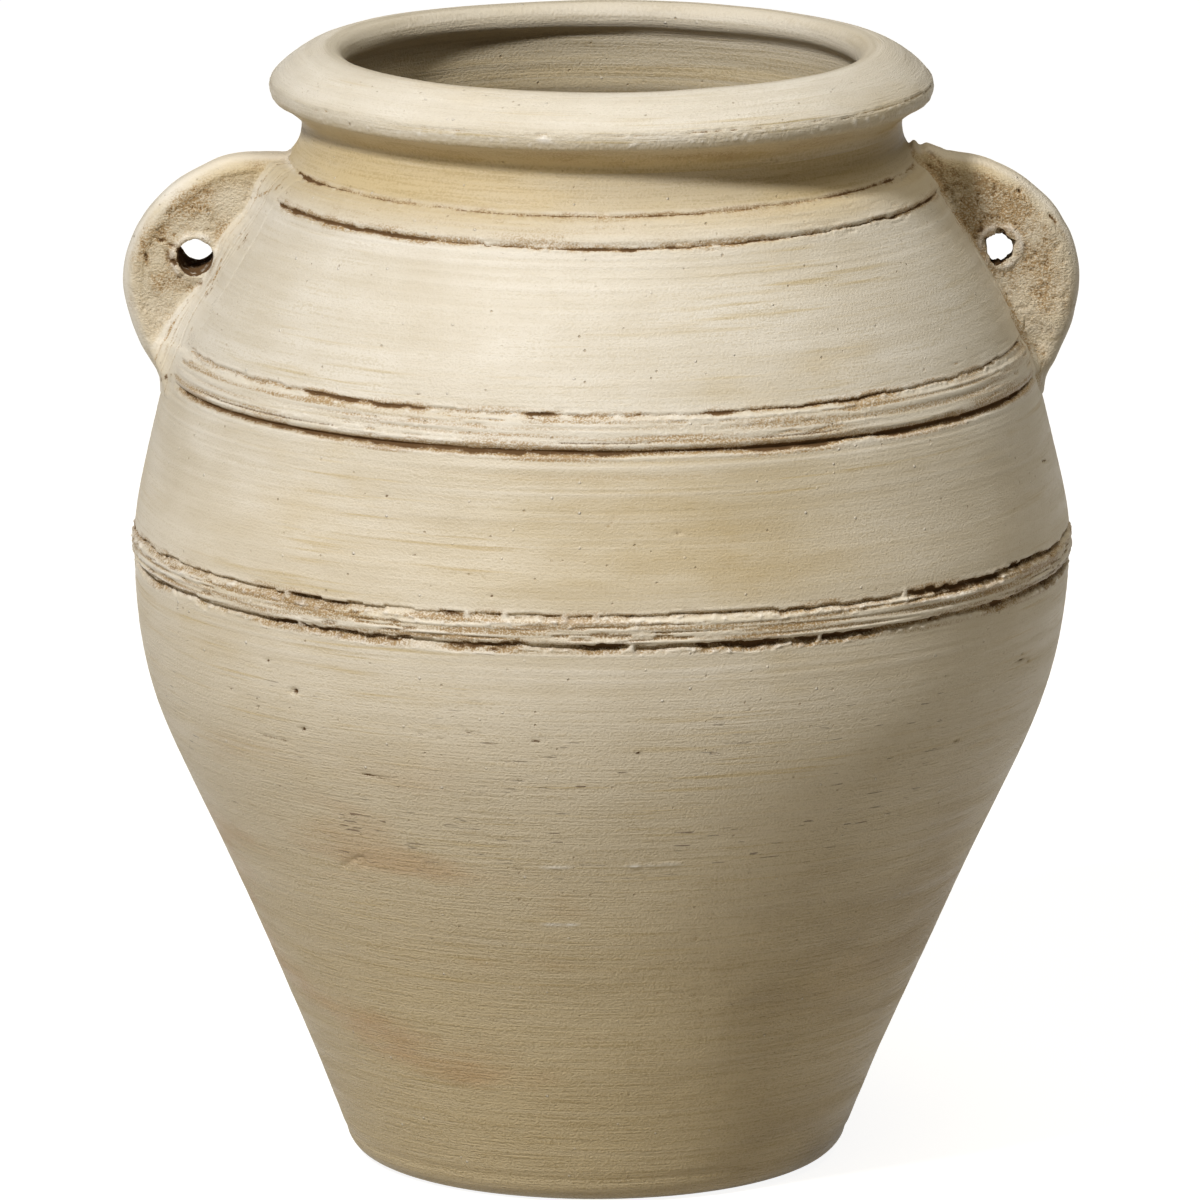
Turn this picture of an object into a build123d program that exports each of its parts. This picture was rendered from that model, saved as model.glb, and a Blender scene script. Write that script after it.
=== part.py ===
"""Greek pithos: a wide clay storage jar with a rolled rim, three bands and two pierced lugs.

The jar is raised in zones, the way such jars are made: a slab, four drums of wall, a neck and a rim,
each set on the one below with a tongue in a groove. A strip of clay then covers the joins that show,
and two flat lugs are luted on at the shoulder. Millimetres, Z up, the jar stands on Z = 0, lugs along X.
"""
import os

from build123d import *

# Driving dimensions
jar_h = 500  # floor to the crest of the rim
wall_t = 13  # thickness of the thrown wall
base_t = 15  # thickness of the slab under it
base_flat_r = 98  # radius of the face that stands on the floor

# Outer outline of the wall: a radius and a height for every place where its curve changes
heel_r, heel_z = 112, 10
cone_r, cone_z = 143.5, 89
flank_r, flank_z = 184.5, 178
belly_r, belly_z = 208, 279  # widest, under the belly band
haunch_r, haunch_z = 203.3, 312
break_r, break_z = 190, 363  # the shoulder breaks inwards here, under its band
slope_r, slope_z = 169, 405
nape_r, nape_z = 145, 443  # foot of the neck, under its band
neck_r, neck_top = 132.4, 466
throat_r = neck_r - wall_t

# Rim
rim_r = 147  # out to the nose
crest_r = 121  # radius of the highest line
lip_r = 113.5  # mouth, at the inner lip
lip_z = 489
nose_z = 481  # under the crease that runs round the nose
crease_z = 486

# Joins between the drums: the one that no band covers, and the tongue that each lower drum carries
drum_join_r, drum_join_z = 172.4, 152
tongue_h, tongue_w = 5, 6

# Bands: each is a strip let into the wall, flush at its edges, with a raised middle between two scored lines
belly_lines, shoulder_lines, neck_lines = 13.5, 15, 13  # from one scored line to the other
strip_margin = 4  # clay outside the lines
let_in = 4
proud = 1.2
line_w, line_d = 2.6, 1.8  # width and depth of a scored line
comb_lines = 3
comb_tooth = 1.6  # side of the square tooth that scores the raised middle

# Lugs: a flat ear in the plane of X and Z
lug_t = 22
lug_reach, lug_reach_z = 211, 404  # farthest point from the axis
lug_top_r, lug_top_z = 152, 452
lug_brow_r, lug_brow_z = 188, 439.5
lug_cheek_r, lug_cheek_z = 204.5, 367
lug_foot_r, lug_foot_z = 192, 346
lug_edge = 7  # rounding of the free edge
lug_smear = 5  # bevel of wet clay wiped on round the root
lug_hole_d = 16
left_hole_r, left_hole_z = 180, 406
right_hole_r, right_hole_z = 177, 409

os.makedirs("parts", exist_ok=True)


def inside(r, z, lean):
    """The point on the inner face of the wall behind an outer point, where the wall leans out by `lean`."""
    along = Vector(lean, 1).normalized()
    return Vector(r, z) - Vector(along.Y, -along.X) * wall_t


def strip_frame(r, z, lean):
    """A point of the wall, and two directions there: up along it, with its lean per mm, and outwards."""
    along = Vector(lean, 1).normalized()
    return Vector(r, z), along, Vector(along.Y, -along.X)


def strip_corners(line_gap, r, z, lean):
    """Section of a strip laid along the wall at (r, z), from its lower edge to its upper edge."""
    middle, along, out = strip_frame(r, z, lean)
    line, edge = line_gap / 2, line_gap / 2 + strip_margin
    upper = [(line - line_w / 2, proud), (line, -line_d), (line + line_w / 2, 0), (edge, 0), (edge, -let_in)]
    lower = [(-a, o) for a, o in upper[::-1]]
    return [middle + along * a + out * o for a, o in lower + upper]


def seat_corners(line_gap, r, z, lean):
    """Section of the shallow rebate that a strip is let into, cut through to the outside of the wall."""
    middle, along, out = strip_frame(r, z, lean)
    edge = line_gap / 2 + strip_margin
    steps = [(-edge, -let_in), (-edge, let_in), (edge, let_in), (edge, -let_in)]
    return [middle + along * a + out * o for a, o in steps]


def comb_spots(line_gap, r, z, lean):
    """Centres of the lines that the comb scores on the raised middle of a strip."""
    middle, along, out = strip_frame(r, z, lean)
    steps = [line_gap * ((i + 1) / (comb_lines + 1) - 0.5) for i in range(comb_lines)]
    return [middle + along * step + out * proud for step in steps]


def join_edge(r, z):
    """One join seen in section, from the axis outwards: flat, with the tongue standing at radius r."""
    half = tongue_w / 2
    return [(0, z), (r - half, z), (r, z + tongue_h), (r + half, z), (2 * belly_r, z)]


def drum_corners(low_r, low_z, high_r, high_z):
    """A drum's share of the wall profile: a groove in its lower edge and a tongue on its upper edge."""
    return join_edge(low_r, low_z) + join_edge(high_r, high_z)[::-1]


# The outer outline of the wall, drawn once: the drums, the bands and the lugs are all cut to it
with BuildLine() as outline:
    heel = TangentArc((base_flat_r, 0), (heel_r, heel_z), tangent=(1, 0))
    flank = Spline(
        heel @ 1, (cone_r, cone_z), (flank_r, flank_z), (belly_r, belly_z), tangents=((0.36, 1), (0, 1))
    )
    haunch = Spline(flank @ 1, (haunch_r, haunch_z), (break_r, break_z), tangents=((0, 1), (-0.33, 1)))
    slope = Spline(haunch @ 1, (slope_r, slope_z), (nape_r, nape_z), tangents=((-0.45, 1), (-0.66, 1)))
    nape = Spline(slope @ 1, (neck_r + 3, neck_top - 11), (neck_r, neck_top), tangents=((-0.7, 1), (0, 1)))
    collar = Line(nape @ 1, (neck_r, neck_top + tongue_h))


# The jar's outside as a filled shape, and the wall as a skin of even thickness inside it
with BuildSketch() as filled:
    with BuildLine():
        add(outline.line)
        Polyline(collar @ 1, (0, neck_top + tongue_h), (0, 0), heel @ 0)
    make_face()

with BuildSketch() as wall:
    with BuildLine():
        add(outline.line)
        inner_face = Spline(
            inside(heel_r, heel_z, 0.36),
            inside(cone_r, cone_z, 0.41),
            inside(flank_r, flank_z, 0.44),
            inside(belly_r, belly_z, 0),
            inside(break_r, break_z, -0.4),
            inside(slope_r, slope_z, -0.55),
            inside(nape_r, nape_z, -0.7),
            (throat_r, neck_top - 8),
            (throat_r, neck_top + tongue_h),
        )
        Polyline(inner_face @ 0, (heel_r - wall_t, 0), heel @ 0)
        Line(inner_face @ 1, collar @ 1)
    make_face()

# Each band's place on the wall: gap between its lines, radius, height and lean of the wall there
belly_place = (belly_lines, belly_r, belly_z, 0)
shoulder_place = (shoulder_lines, break_r, break_z, -0.38)
neck_place = (neck_lines, nape_r, nape_z, -0.68)
belly_strip = strip_corners(*belly_place)
shoulder_strip = strip_corners(*shoulder_place)
neck_strip = strip_corners(*neck_place)
belly_seat = seat_corners(*belly_place)
shoulder_seat = seat_corners(*shoulder_place)
neck_seat = seat_corners(*neck_place)

# Where the tongues run: the middle of the clay at each join, behind the band where there is one
base_tongue_r = heel_r + 2 - wall_t / 2
drum_tongue_r = drum_join_r - wall_t / 2
belly_tongue_r = belly_r - (wall_t + let_in) / 2
break_tongue_r = break_r - (wall_t + let_in) / 2
nape_tongue_r = nape_r - (wall_t + let_in) / 2 - 1
neck_tongue_r = neck_r - wall_t / 2

# Slab under the jar, with its heel rounded
with BuildPart() as base_disc:
    with BuildSketch(Plane.XZ):
        add(filled.sketch)
        share = drum_corners(base_tongue_r, -base_t, base_tongue_r, base_t)
        Polygon(*share, align=None, mode=Mode.INTERSECT)
    revolve(axis=Axis.Z)
base_disc.part.label = "base_disc"
export_step(base_disc.part, "parts/base_disc.step")

# Lowest drum, nearly a plain cone
with BuildPart() as foot_wall:
    with BuildSketch(Plane.XZ):
        add(wall.sketch)
        share = drum_corners(base_tongue_r, base_t, drum_tongue_r, drum_join_z)
        Polygon(*share, align=None, mode=Mode.INTERSECT)
    revolve(axis=Axis.Z)
foot_wall.part.label = "foot_wall"
export_step(foot_wall.part, "parts/foot_wall.step")

# Second drum, swelling up to the belly
with BuildPart() as lower_wall:
    with BuildSketch(Plane.XZ):
        add(wall.sketch)
        share = drum_corners(drum_tongue_r, drum_join_z, belly_tongue_r, belly_z)
        Polygon(*share, align=None, mode=Mode.INTERSECT)
        Polygon(*belly_seat, align=None, mode=Mode.SUBTRACT)
    revolve(axis=Axis.Z)
lower_wall.part.label = "lower_wall"
export_step(lower_wall.part, "parts/lower_wall.step")

# Third drum, drawing in to the shoulder break
with BuildPart() as upper_wall:
    with BuildSketch(Plane.XZ):
        add(wall.sketch)
        share = drum_corners(belly_tongue_r, belly_z, break_tongue_r, break_z)
        Polygon(*share, align=None, mode=Mode.INTERSECT)
        Polygon(*belly_seat, align=None, mode=Mode.SUBTRACT)
        Polygon(*shoulder_seat, align=None, mode=Mode.SUBTRACT)
    revolve(axis=Axis.Z)
upper_wall.part.label = "upper_wall"
export_step(upper_wall.part, "parts/upper_wall.step")

# Sloping ring between the two upper bands
with BuildPart() as shoulder:
    with BuildSketch(Plane.XZ):
        add(wall.sketch)
        share = drum_corners(break_tongue_r, break_z, nape_tongue_r, nape_z)
        Polygon(*share, align=None, mode=Mode.INTERSECT)
        Polygon(*shoulder_seat, align=None, mode=Mode.SUBTRACT)
        Polygon(*neck_seat, align=None, mode=Mode.SUBTRACT)
    revolve(axis=Axis.Z)
shoulder.part.label = "shoulder"
export_step(shoulder.part, "parts/shoulder.step")

# Short hollow-sided collar
with BuildPart() as neck:
    with BuildSketch(Plane.XZ):
        add(wall.sketch)
        share = drum_corners(nape_tongue_r, nape_z, neck_tongue_r, neck_top)
        Polygon(*share, align=None, mode=Mode.INTERSECT)
        Polygon(*neck_seat, align=None, mode=Mode.SUBTRACT)
    revolve(axis=Axis.Z)
neck.part.label = "neck"
export_step(neck.part, "parts/neck.step")

# Heavy rolled ring: a cove under it, a creased nose, a falling top and a lip that overhangs the mouth
with BuildPart() as rim:
    with BuildSketch(Plane.XZ):
        with BuildLine():
            cove_mid = (neck_r + 4, neck_top + 6.5)
            cove = Spline((neck_r, neck_top), cove_mid, (rim_r - 2, nose_z - 3), tangents=((0, 1), (1, 0.4)))
            nose = ThreePointArc(cove @ 1, (rim_r, nose_z + 1), (rim_r - 0.5, crease_z))
            brow_mid = (rim_r - 9.5, jar_h - 6)
            brow = Spline(nose @ 1, brow_mid, (crest_r, jar_h), tangents=((-0.75, 1), (-1, 0)))
            roll_mid = (lip_r + 2, jar_h - 2.5)
            roll = Spline(brow @ 1, roll_mid, (lip_r, lip_z + 3), tangents=((-1, 0), (0, -1)))
            tuck_mid = (lip_r + 2, lip_z - 0.5)
            tuck = Spline(roll @ 1, tuck_mid, (throat_r, lip_z - 5), tangents=((0, -1), (0.3, -1)))
            Polyline(tuck @ 1, (throat_r, neck_top), *join_edge(neck_tongue_r, neck_top)[1:-1], cove @ 0)
        make_face()
    revolve(axis=Axis.Z)
rim.part.label = "rim"
export_step(rim.part, "parts/rim.step")

# Strip over the belly join, scored with a comb
with BuildPart() as belly_band:
    with BuildSketch(Plane.XZ):
        Polygon(*belly_strip, align=None)
        with Locations(*comb_spots(*belly_place)):
            Rectangle(comb_tooth, comb_tooth, rotation=45, mode=Mode.SUBTRACT)
    revolve(axis=Axis.Z)
belly_band.part.label = "belly_band"
export_step(belly_band.part, "parts/belly_band.step")

# Strip over the shoulder break, scored with the same comb
with BuildPart() as shoulder_band:
    with BuildSketch(Plane.XZ):
        Polygon(*shoulder_strip, align=None)
        with Locations(*comb_spots(*shoulder_place)):
            Rectangle(comb_tooth, comb_tooth, rotation=45, mode=Mode.SUBTRACT)
    revolve(axis=Axis.Z)
shoulder_band.part.label = "shoulder_band"
export_step(shoulder_band.part, "parts/shoulder_band.step")

# Plain strip at the foot of the neck
with BuildPart() as neck_band:
    with BuildSketch(Plane.XZ):
        Polygon(*neck_strip, align=None)
    revolve(axis=Axis.Z)
neck_band.part.label = "neck_band"
export_step(neck_band.part, "parts/neck_band.step")

# Both lugs start as one ear: a flat plate with a rounded free edge, pressed on over the shoulder and the two
# upper bands. The jar is added for a moment so that the root can be bevelled, then taken away with the bands.
with BuildPart() as ear:
    with BuildSketch(Plane.XZ):
        with BuildLine():
            free_edge = Spline(
                (-lug_top_r, lug_top_z),
                (-lug_brow_r, lug_brow_z),
                (-lug_reach, lug_reach_z),
                (-lug_cheek_r, lug_cheek_z),
                (-lug_foot_r, lug_foot_z),
            )
            Polyline(free_edge @ 1, (-nape_r / 2, lug_foot_z), (-nape_r / 2, lug_top_z), free_edge @ 0)
        make_face()
    extrude(amount=lug_t / 2, both=True)
    fillet(ear.edges().filter_by(GeomType.BSPLINE), lug_edge)
    with BuildSketch(Plane.XZ):
        add(filled.sketch)
    revolve(axis=Axis.Z)
    root = ear.edges(Select.NEW).filter_by(lambda e: lug_foot_z + 2 < (e @ 0.5).Z < lug_top_z - 1)
    chamfer(root, lug_smear)
    with BuildSketch(Plane.XZ):
        add(filled.sketch)
        Polygon(*shoulder_strip, align=None)
        Polygon(*neck_strip, align=None)
    revolve(axis=Axis.Z, mode=Mode.SUBTRACT)

# Left lug, pierced from the front for a rope
with BuildPart() as left_lug:
    add(ear.part)
    with Locations(Plane((-left_hole_r, 0, left_hole_z), z_dir=(0, -1, 0))):
        Hole(lug_hole_d / 2)
left_lug.part.label = "left_lug"
export_step(left_lug.part, "parts/left_lug.step")

# Right lug, pierced a little higher and nearer the jar
with BuildPart() as right_lug:
    mirror(ear.part, about=Plane.YZ)
    with Locations(Plane((right_hole_r, 0, right_hole_z), z_dir=(0, -1, 0))):
        Hole(lug_hole_d / 2)
right_lug.part.label = "right_lug"
export_step(right_lug.part, "parts/right_lug.step")
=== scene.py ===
# %% [markdown]
# # A Greek pithos in cream slip
#
# A pithos is a wide clay storage jar. This one is raised in drums, with combed strips over the joins, two
# pierced lugs on the shoulder and a heavy rolled rim, and it is washed over with cream slip and a thin
# brown stain. The CAD model already holds the true sizes, so this lesson only dresses it: every drum, strip
# and lug gets a fine mesh that follows the CAD wall and carries the marks of the potter's hands.

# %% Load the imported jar
import math
from functools import partial
from types import SimpleNamespace

import bmesh
import bpy
import numpy as np
import openvdb
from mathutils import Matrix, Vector


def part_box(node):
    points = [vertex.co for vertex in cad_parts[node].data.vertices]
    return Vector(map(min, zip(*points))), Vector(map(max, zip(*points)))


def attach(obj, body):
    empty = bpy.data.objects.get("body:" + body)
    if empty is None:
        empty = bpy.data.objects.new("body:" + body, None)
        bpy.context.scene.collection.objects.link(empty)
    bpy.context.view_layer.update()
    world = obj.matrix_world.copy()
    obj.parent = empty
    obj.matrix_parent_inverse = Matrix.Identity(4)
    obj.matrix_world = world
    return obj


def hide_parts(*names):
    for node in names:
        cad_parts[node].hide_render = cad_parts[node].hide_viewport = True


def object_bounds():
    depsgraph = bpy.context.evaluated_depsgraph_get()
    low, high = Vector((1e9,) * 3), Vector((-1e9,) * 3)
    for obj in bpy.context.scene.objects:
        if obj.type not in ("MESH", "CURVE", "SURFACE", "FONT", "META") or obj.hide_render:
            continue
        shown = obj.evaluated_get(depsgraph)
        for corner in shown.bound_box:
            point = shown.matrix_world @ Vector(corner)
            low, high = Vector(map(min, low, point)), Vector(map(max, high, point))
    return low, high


MM = 0.001  # the frame is in metres, and a potter thinks in millimetres
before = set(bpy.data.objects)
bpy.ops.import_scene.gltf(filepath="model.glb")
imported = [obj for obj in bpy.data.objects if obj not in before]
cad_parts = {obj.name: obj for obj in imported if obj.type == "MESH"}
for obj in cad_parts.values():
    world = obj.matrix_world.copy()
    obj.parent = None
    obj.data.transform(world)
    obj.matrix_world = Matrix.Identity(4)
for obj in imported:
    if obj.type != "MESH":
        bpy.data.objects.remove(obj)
cad_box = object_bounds()
jar_size = [round((high - low) / MM) for low, high in zip(*cad_box)]
print("jar of", len(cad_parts), "clay pieces,", jar_size, "mm")

# %% [markdown]
# ## Camera
#
# The photograph was taken with a long lens from a little above the rim: the rim's circle looks flatter than
# the circle of the foot, and how much flatter gives the distance. The camera is put there first, because a
# few marks on the clay are placed by where the photograph shows them.

# %% Set the camera
CAMERA_BACK = 5793  # mm from the jar's axis
CAMERA_UP = 1477
AIM_X, AIM_Z = -0.7, 249.6
PHOTO_PX = 1200  # the photograph is square
LENS_PX = 13289  # focal length, in pixels of the photograph


def put_in_scene(name, data):
    """A new object with this data, linked to the scene."""
    thing = bpy.data.objects.new(name, data)
    bpy.context.scene.collection.objects.link(thing)
    return thing


camera_data = bpy.data.cameras.new("studio_camera")
camera_data.sensor_fit = "HORIZONTAL"
camera_data.angle = 2 * math.atan(PHOTO_PX / 2 / LENS_PX)
camera_data.clip_end = 100
camera = put_in_scene("studio_camera", camera_data)
camera.location = Vector((AIM_X, -CAMERA_BACK, CAMERA_UP)) * MM
view_line = Vector((AIM_X, 0, AIM_Z)) * MM - camera.location
camera.rotation_euler = view_line.to_track_quat("-Z", "Y").to_euler()
bpy.context.scene.camera = camera
print("camera looks down by", round(math.degrees(-math.asin(view_line.normalized().z)), 1), "degrees")

# %% [markdown]
# ## The outline, felt with a probe
#
# The drums must follow the CAD wall. A potter checks a profile with a template; here a probe is pushed in
# towards the axis at a few heights, and a smooth curve goes through the touches. The strips stand proud of
# the wall, so one touch on each is taken back by that much.

# %% Probe the wall
WALL_NODES = ["base_disc", "foot_wall", "lower_wall", "upper_wall", "shoulder", "neck"]
BAND_NODES = ["belly_band", "shoulder_band", "neck_band"]
BAND_PROUD = 1.2
TOUCH_STEP = 16  # mm between two touches
COMB_MISS = 1.5  # mm off a strip's middle, where a combed line would catch the probe
INSIDE_SKIP = (430, 437)  # heights under the neck that the probe skips inside


def node_span(node):
    """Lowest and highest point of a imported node, in millimetres."""
    low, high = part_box(node)
    return low.z / MM, high.z / MM


def touch(height, nodes):
    """Radius at which a probe coming in from the front first meets one of these nodes."""
    start, inwards = Vector((0, -1, height * MM)), Vector((0, 1, 0))
    hits = [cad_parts[node].ray_cast(start, inwards) for node in nodes]
    return max((-place.y / MM for found, place, _, _ in hits if found), default=0)


def smooth_through(heights, radii):
    """A curve with no kinks through the touches, as a function of height (a natural cubic spline)."""
    h, r = np.asarray(heights, float), np.asarray(radii, float)
    step, rise = np.diff(h), np.diff(r) / np.diff(h)
    system = np.eye(len(h))
    bend = np.zeros(len(h))
    for i in range(1, len(h) - 1):
        system[i, i - 1 : i + 2] = step[i - 1], 2 * (step[i - 1] + step[i]), step[i]
        bend[i] = 6 * (rise[i] - rise[i - 1])
    bend = np.linalg.solve(system, bend)

    def curve(z):
        i = np.clip(np.searchsorted(h, z) - 1, 0, len(h) - 2)
        a, b, d = h[i + 1] - z, z - h[i], step[i]
        sag = (a**3 / d - d * a) * bend[i] + (b**3 / d - d * b) * bend[i + 1]
        return (a * r[i] + b * r[i + 1]) / d + sag / 6

    return curve


TONGUE = 5  # each drum has a tongue this high, hidden in the drum above
foot_top = node_span("base_disc")[1] - TONGUE
drum_join = node_span("lower_wall")[0]
rim_foot = node_span("rim")[0]
belly_zone, shoulder_zone, neck_zone = (node_span(node) for node in BAND_NODES)
clear_zones = [(foot_top, belly_zone[0]), (belly_zone[1], shoulder_zone[0])]
clear_zones += [(shoulder_zone[1], neck_zone[0]), (neck_zone[1], rim_foot)]
touches = []
for low, high in clear_zones:
    for height in np.linspace(low + 1, high - 0.5, max(4, int((high - low) / TOUCH_STEP))):
        touches.append((height, touch(height, WALL_NODES)))
for low, high in (belly_zone, shoulder_zone, neck_zone):
    height = (low + high) / 2 + COMB_MISS
    touches.append((height, touch(height, BAND_NODES) - BAND_PROUD))
wall_radius = smooth_through(*zip(*sorted(touches)))


def touch_inside(height):
    """Radius of the inner skin, felt from the axis outwards."""
    start, outwards = Vector((0, 0, height * MM)), Vector((0, -1, 0))
    hits = [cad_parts[node].ray_cast(start, outwards) for node in WALL_NODES]
    return min(-place.y / MM for found, place, _, _ in hits if found)


under_neck = np.linspace(foot_top + 1, INSIDE_SKIP[0], 27)
inside_heights = np.r_[under_neck, np.linspace(INSIDE_SKIP[1], rim_foot - 0.5, 8)]
inner_radius = smooth_through(inside_heights, [touch_inside(height) for height in inside_heights])
print("wall felt at", len(touches), "heights; belly", round(2 * max(r for _, r in touches)), "mm across")

# %% [markdown]
# ## A grain for the clay
#
# Nothing on a hand-built jar repeats. One small noise gives all the unevenness: a lattice of fixed random
# numbers in space, blended softly. Stretching the lattice round the jar gives wheel lines and brush marks,
# and an even lattice gives lumps and crumbs. The numbers come from a sum of the cell's position, so every
# run is the same.

# %% Make the clay noise
LOW_32 = 0xFFFFFFFF


def corner_number(ix, iy, iz, seed):
    """A fixed number from -1 to 1 for each corner of the lattice."""
    n = (ix * 0x9E3779B1 + iy * 0x85EBCA77 + iz * 0xC2B2AE3D + seed * 0x27D4EB2F) & LOW_32
    n = ((n ^ (n >> 15)) * 0x2C1B3C6D) & LOW_32
    n = ((n ^ (n >> 12)) * 0x297A2D39) & LOW_32
    return (n ^ (n >> 15)) / 0x7FFFFFFF - 1


def clay_noise(place, along, rise, seed):
    """Soft unevenness from -1 to 1, in lumps `along` mm wide and `rise` mm tall."""
    lattice = place / np.array([along, along, rise])
    cell = np.floor(lattice).astype(np.int64)
    part = lattice - cell
    part = part * part * (3 - 2 * part)
    total = 0
    for dx in (0, 1):
        for dy in (0, 1):
            for dz in (0, 1):
                share = np.abs(1 - dx - part[..., 0]) * np.abs(1 - dy - part[..., 1])
                share = share * np.abs(1 - dz - part[..., 2])
                total = total + share * corner_number(
                    cell[..., 0] + dx, cell[..., 1] + dy, cell[..., 2] + dz, seed
                )
    return total


def noise_at(place, seed):
    """The same unevenness as a function of the lumps' width and height, and of which layer is wanted."""
    return lambda along, rise, layer=0: clay_noise(place, along, rise, seed + layer)


def ease(value, start, end):
    """0 before start, 1 after end, and a soft S between them."""
    t = np.clip((value - start) / (end - start), 0, 1)
    return t * t * (3 - 2 * t)


def bump_at(value, centre, width):
    """A soft bell, 1 at the centre."""
    return np.exp(-(((value - centre) / width) ** 2))


def window(value, start, full, fade, end):
    """1 between full and fade, 0 before start and after end, and soft on the way."""
    return ease(value, start, full) * (1 - ease(value, fade, end))


noise_try = clay_noise(np.random.default_rng(7).uniform(0, 500, (4000, 3)), 5, 5, 1)
print("clay noise runs from", noise_try.min().round(2), "to", noise_try.max().round(2))

# %% [markdown]
# ## Places on the jar
#
# A place on the wall is a height and a turn from the front, where the camera is. The real jar was also cut
# from the wheel a little out of true: below the belly its axis drifts to the left, and the copy does the
# same.

# %% Define places
LEAN = 2.9  # mm that the foot stands to the left of the rim
LEAN_FROM = 270  # height at which it starts
LEAN_BEND = 0.8
WALK = 350  # mm before and behind the axis in which a ray is followed


def ring_places(radius, height, turn):
    """Points at these radii and heights (rows) and these turns from the front (columns)."""
    radius, height, turn = np.broadcast_arrays(radius, height, turn)
    return np.stack([radius * np.sin(turn), -radius * np.cos(turn), height], axis=-1)


def drift_at(height):
    """How far the jar's axis has drifted to the left at a height."""
    return LEAN * np.clip((LEAN_FROM - height) / LEAN_FROM, 0, 1) ** LEAN_BEND


def lean_over(place):
    """The same places on the jar as it left the wheel, slightly out of true."""
    moved = place.copy()
    moved[..., 0] -= drift_at(place[..., 2])
    return moved


def pixel_ray(x, y):
    """Where the camera stands, in millimetres, and the direction in which it sees a pixel."""
    right, up = (x - PHOTO_PX / 2) / LENS_PX, (PHOTO_PX / 2 - y) / LENS_PX
    ray = camera.rotation_euler.to_matrix() @ Vector((right, up, -1))
    return np.array(camera.location) / MM, np.array(ray)


def spot_in_photo(x, y):
    """Turn and height of the wall where a pixel falls, found by walking along the camera's ray."""
    start, ray = pixel_ray(x, y)
    path = start + np.linspace(CAMERA_BACK - WALK, CAMERA_BACK + WALK, 3000)[:, None] * ray
    across = path[:, 0] + drift_at(path[:, 2])
    inside = np.hypot(across, path[:, 1]) < wall_radius(np.clip(path[:, 2], foot_top, rim_foot))
    first = int(np.argmax(inside))
    return math.atan2(across[first], -path[first, 1]), path[first, 2]


def photo_pixel(place):
    """Pixel of the photograph in which each place, in millimetres, is seen."""
    turned = (place - np.array(camera.location) / MM) @ np.array(camera.rotation_euler.to_matrix())
    scale = LENS_PX / -turned[..., 2]
    return PHOTO_PX / 2 + turned[..., 0] * scale, PHOTO_PX / 2 - turned[..., 1] * scale


print("the photograph's centre falls on the wall at", [round(v, 3) for v in spot_in_photo(600, 600)])

# %% [markdown]
# ## Marks of throwing and brushing
#
# Pressing fingers leave a slow wobble, and the rib and the brush leave fine level lines. They are strongest
# just under a strip, where the potter cleaned the join, and they fade out on the way down. Each kind of
# mark returns how far the clay stands out, in millimetres, and how much umber, ochre and bare pale slip
# lies there.

# %% Throwing marks
LINE_FADE = 14  # mm over which the cleaning lines under a strip fade
FULLER = 1.6  # mm by which the foot bulges on the right


def throwing_marks(place):
    height = place[..., 2]
    wobble = 0.6 * clay_noise(place, 150, 70, 11) + 0.22 * clay_noise(place, 60, 26, 12)
    under = 0
    for low, _ in (belly_zone, shoulder_zone, neck_zone):
        under = under + np.where(height < low + 6, np.exp(-np.abs(low - height) / LINE_FADE), 0)
    wheel = clay_noise(place, 190, 1.25, 13)
    wheel = wheel * (0.03 + 0.15 * under) * (1 + 0.5 * clay_noise(place, 90, 18, 14))
    rough = 0.07 * clay_noise(place, 9, 5, 15) * ease(-height, -200, -60)
    fuller = FULLER * ease(place[..., 0], 20, 110) * bump_at(height, 90, 70)
    ochre = np.clip(-wheel * 1.5, 0, 0.25) + 0.1 * np.clip(clay_noise(place, 60, 8, 16) - 0.3, 0, 1)
    relief, pale = wobble + wheel + rough + fuller, np.clip(wheel * 2, 0, 0.3)
    return np.stack([relief, np.zeros_like(relief), ochre, pale])


belly_ring = ring_places(wall_radius(belly_zone[0]), belly_zone[0], np.linspace(-3, 3, 600))
belly_marks = throwing_marks(belly_ring)[0]
print("throwing marks under the belly strip reach", np.abs(belly_marks).max().round(2), "mm")


# %% [markdown]
# ## Scored lines
#
# Two lines were cut round each strip with a pointed tool while the jar turned. The tool dragged the upper
# edge into a crisp ragged lip, left a floor that runs out below, and pushed up crumbs. Later the brown wash
# settled in the cut. Each line is described by a few sizes, and the noise breaks it up.

# %% Size the scored lines
LINE_SIZES = ("at", "depth", "cut", "floor", "ragged", "gaps", "stain", "seed")
SCORED = {
    "belly_upper": (286.1, 2.3, 1.6, 2.2, 0.7, 0.35, 0.3, 100),
    "belly_lower": (273.0, 2.6, 1.9, 2.2, 0.6, 0.2, 0.35, 120),
    "shoulder_upper": (370.2, 1.3, 0.9, 1.4, 0.45, 0.22, 0.55, 140),
    "shoulder_lower": (355.4, 1.9, 1.5, 1.6, 0.2, 0.15, 0.6, 160),
    "neck_upper": (449.2, 0.9, 0.35, 0.8, 0.2, 0.15, 0.75, 180),
    "neck_lower": (436.6, 1.1, 0.5, 0.9, 0.35, 0.2, 0.75, 200),
}
SCORED = {name: dict(zip(LINE_SIZES, sizes)) for name, sizes in SCORED.items()}
WANDER = 0.35  # mm that a line strays from its height
RISE = {"shoulder_upper": 2.0, "neck_upper": 1.2, "neck_lower": 1.6}  # mm that a line climbs to the lugs
BESIDE = 2.5  # mm above the lower shoulder line, where a thin second scratch runs
print("six scored lines, the deepest", max(size["depth"] for size in SCORED.values()), "mm")

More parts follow.
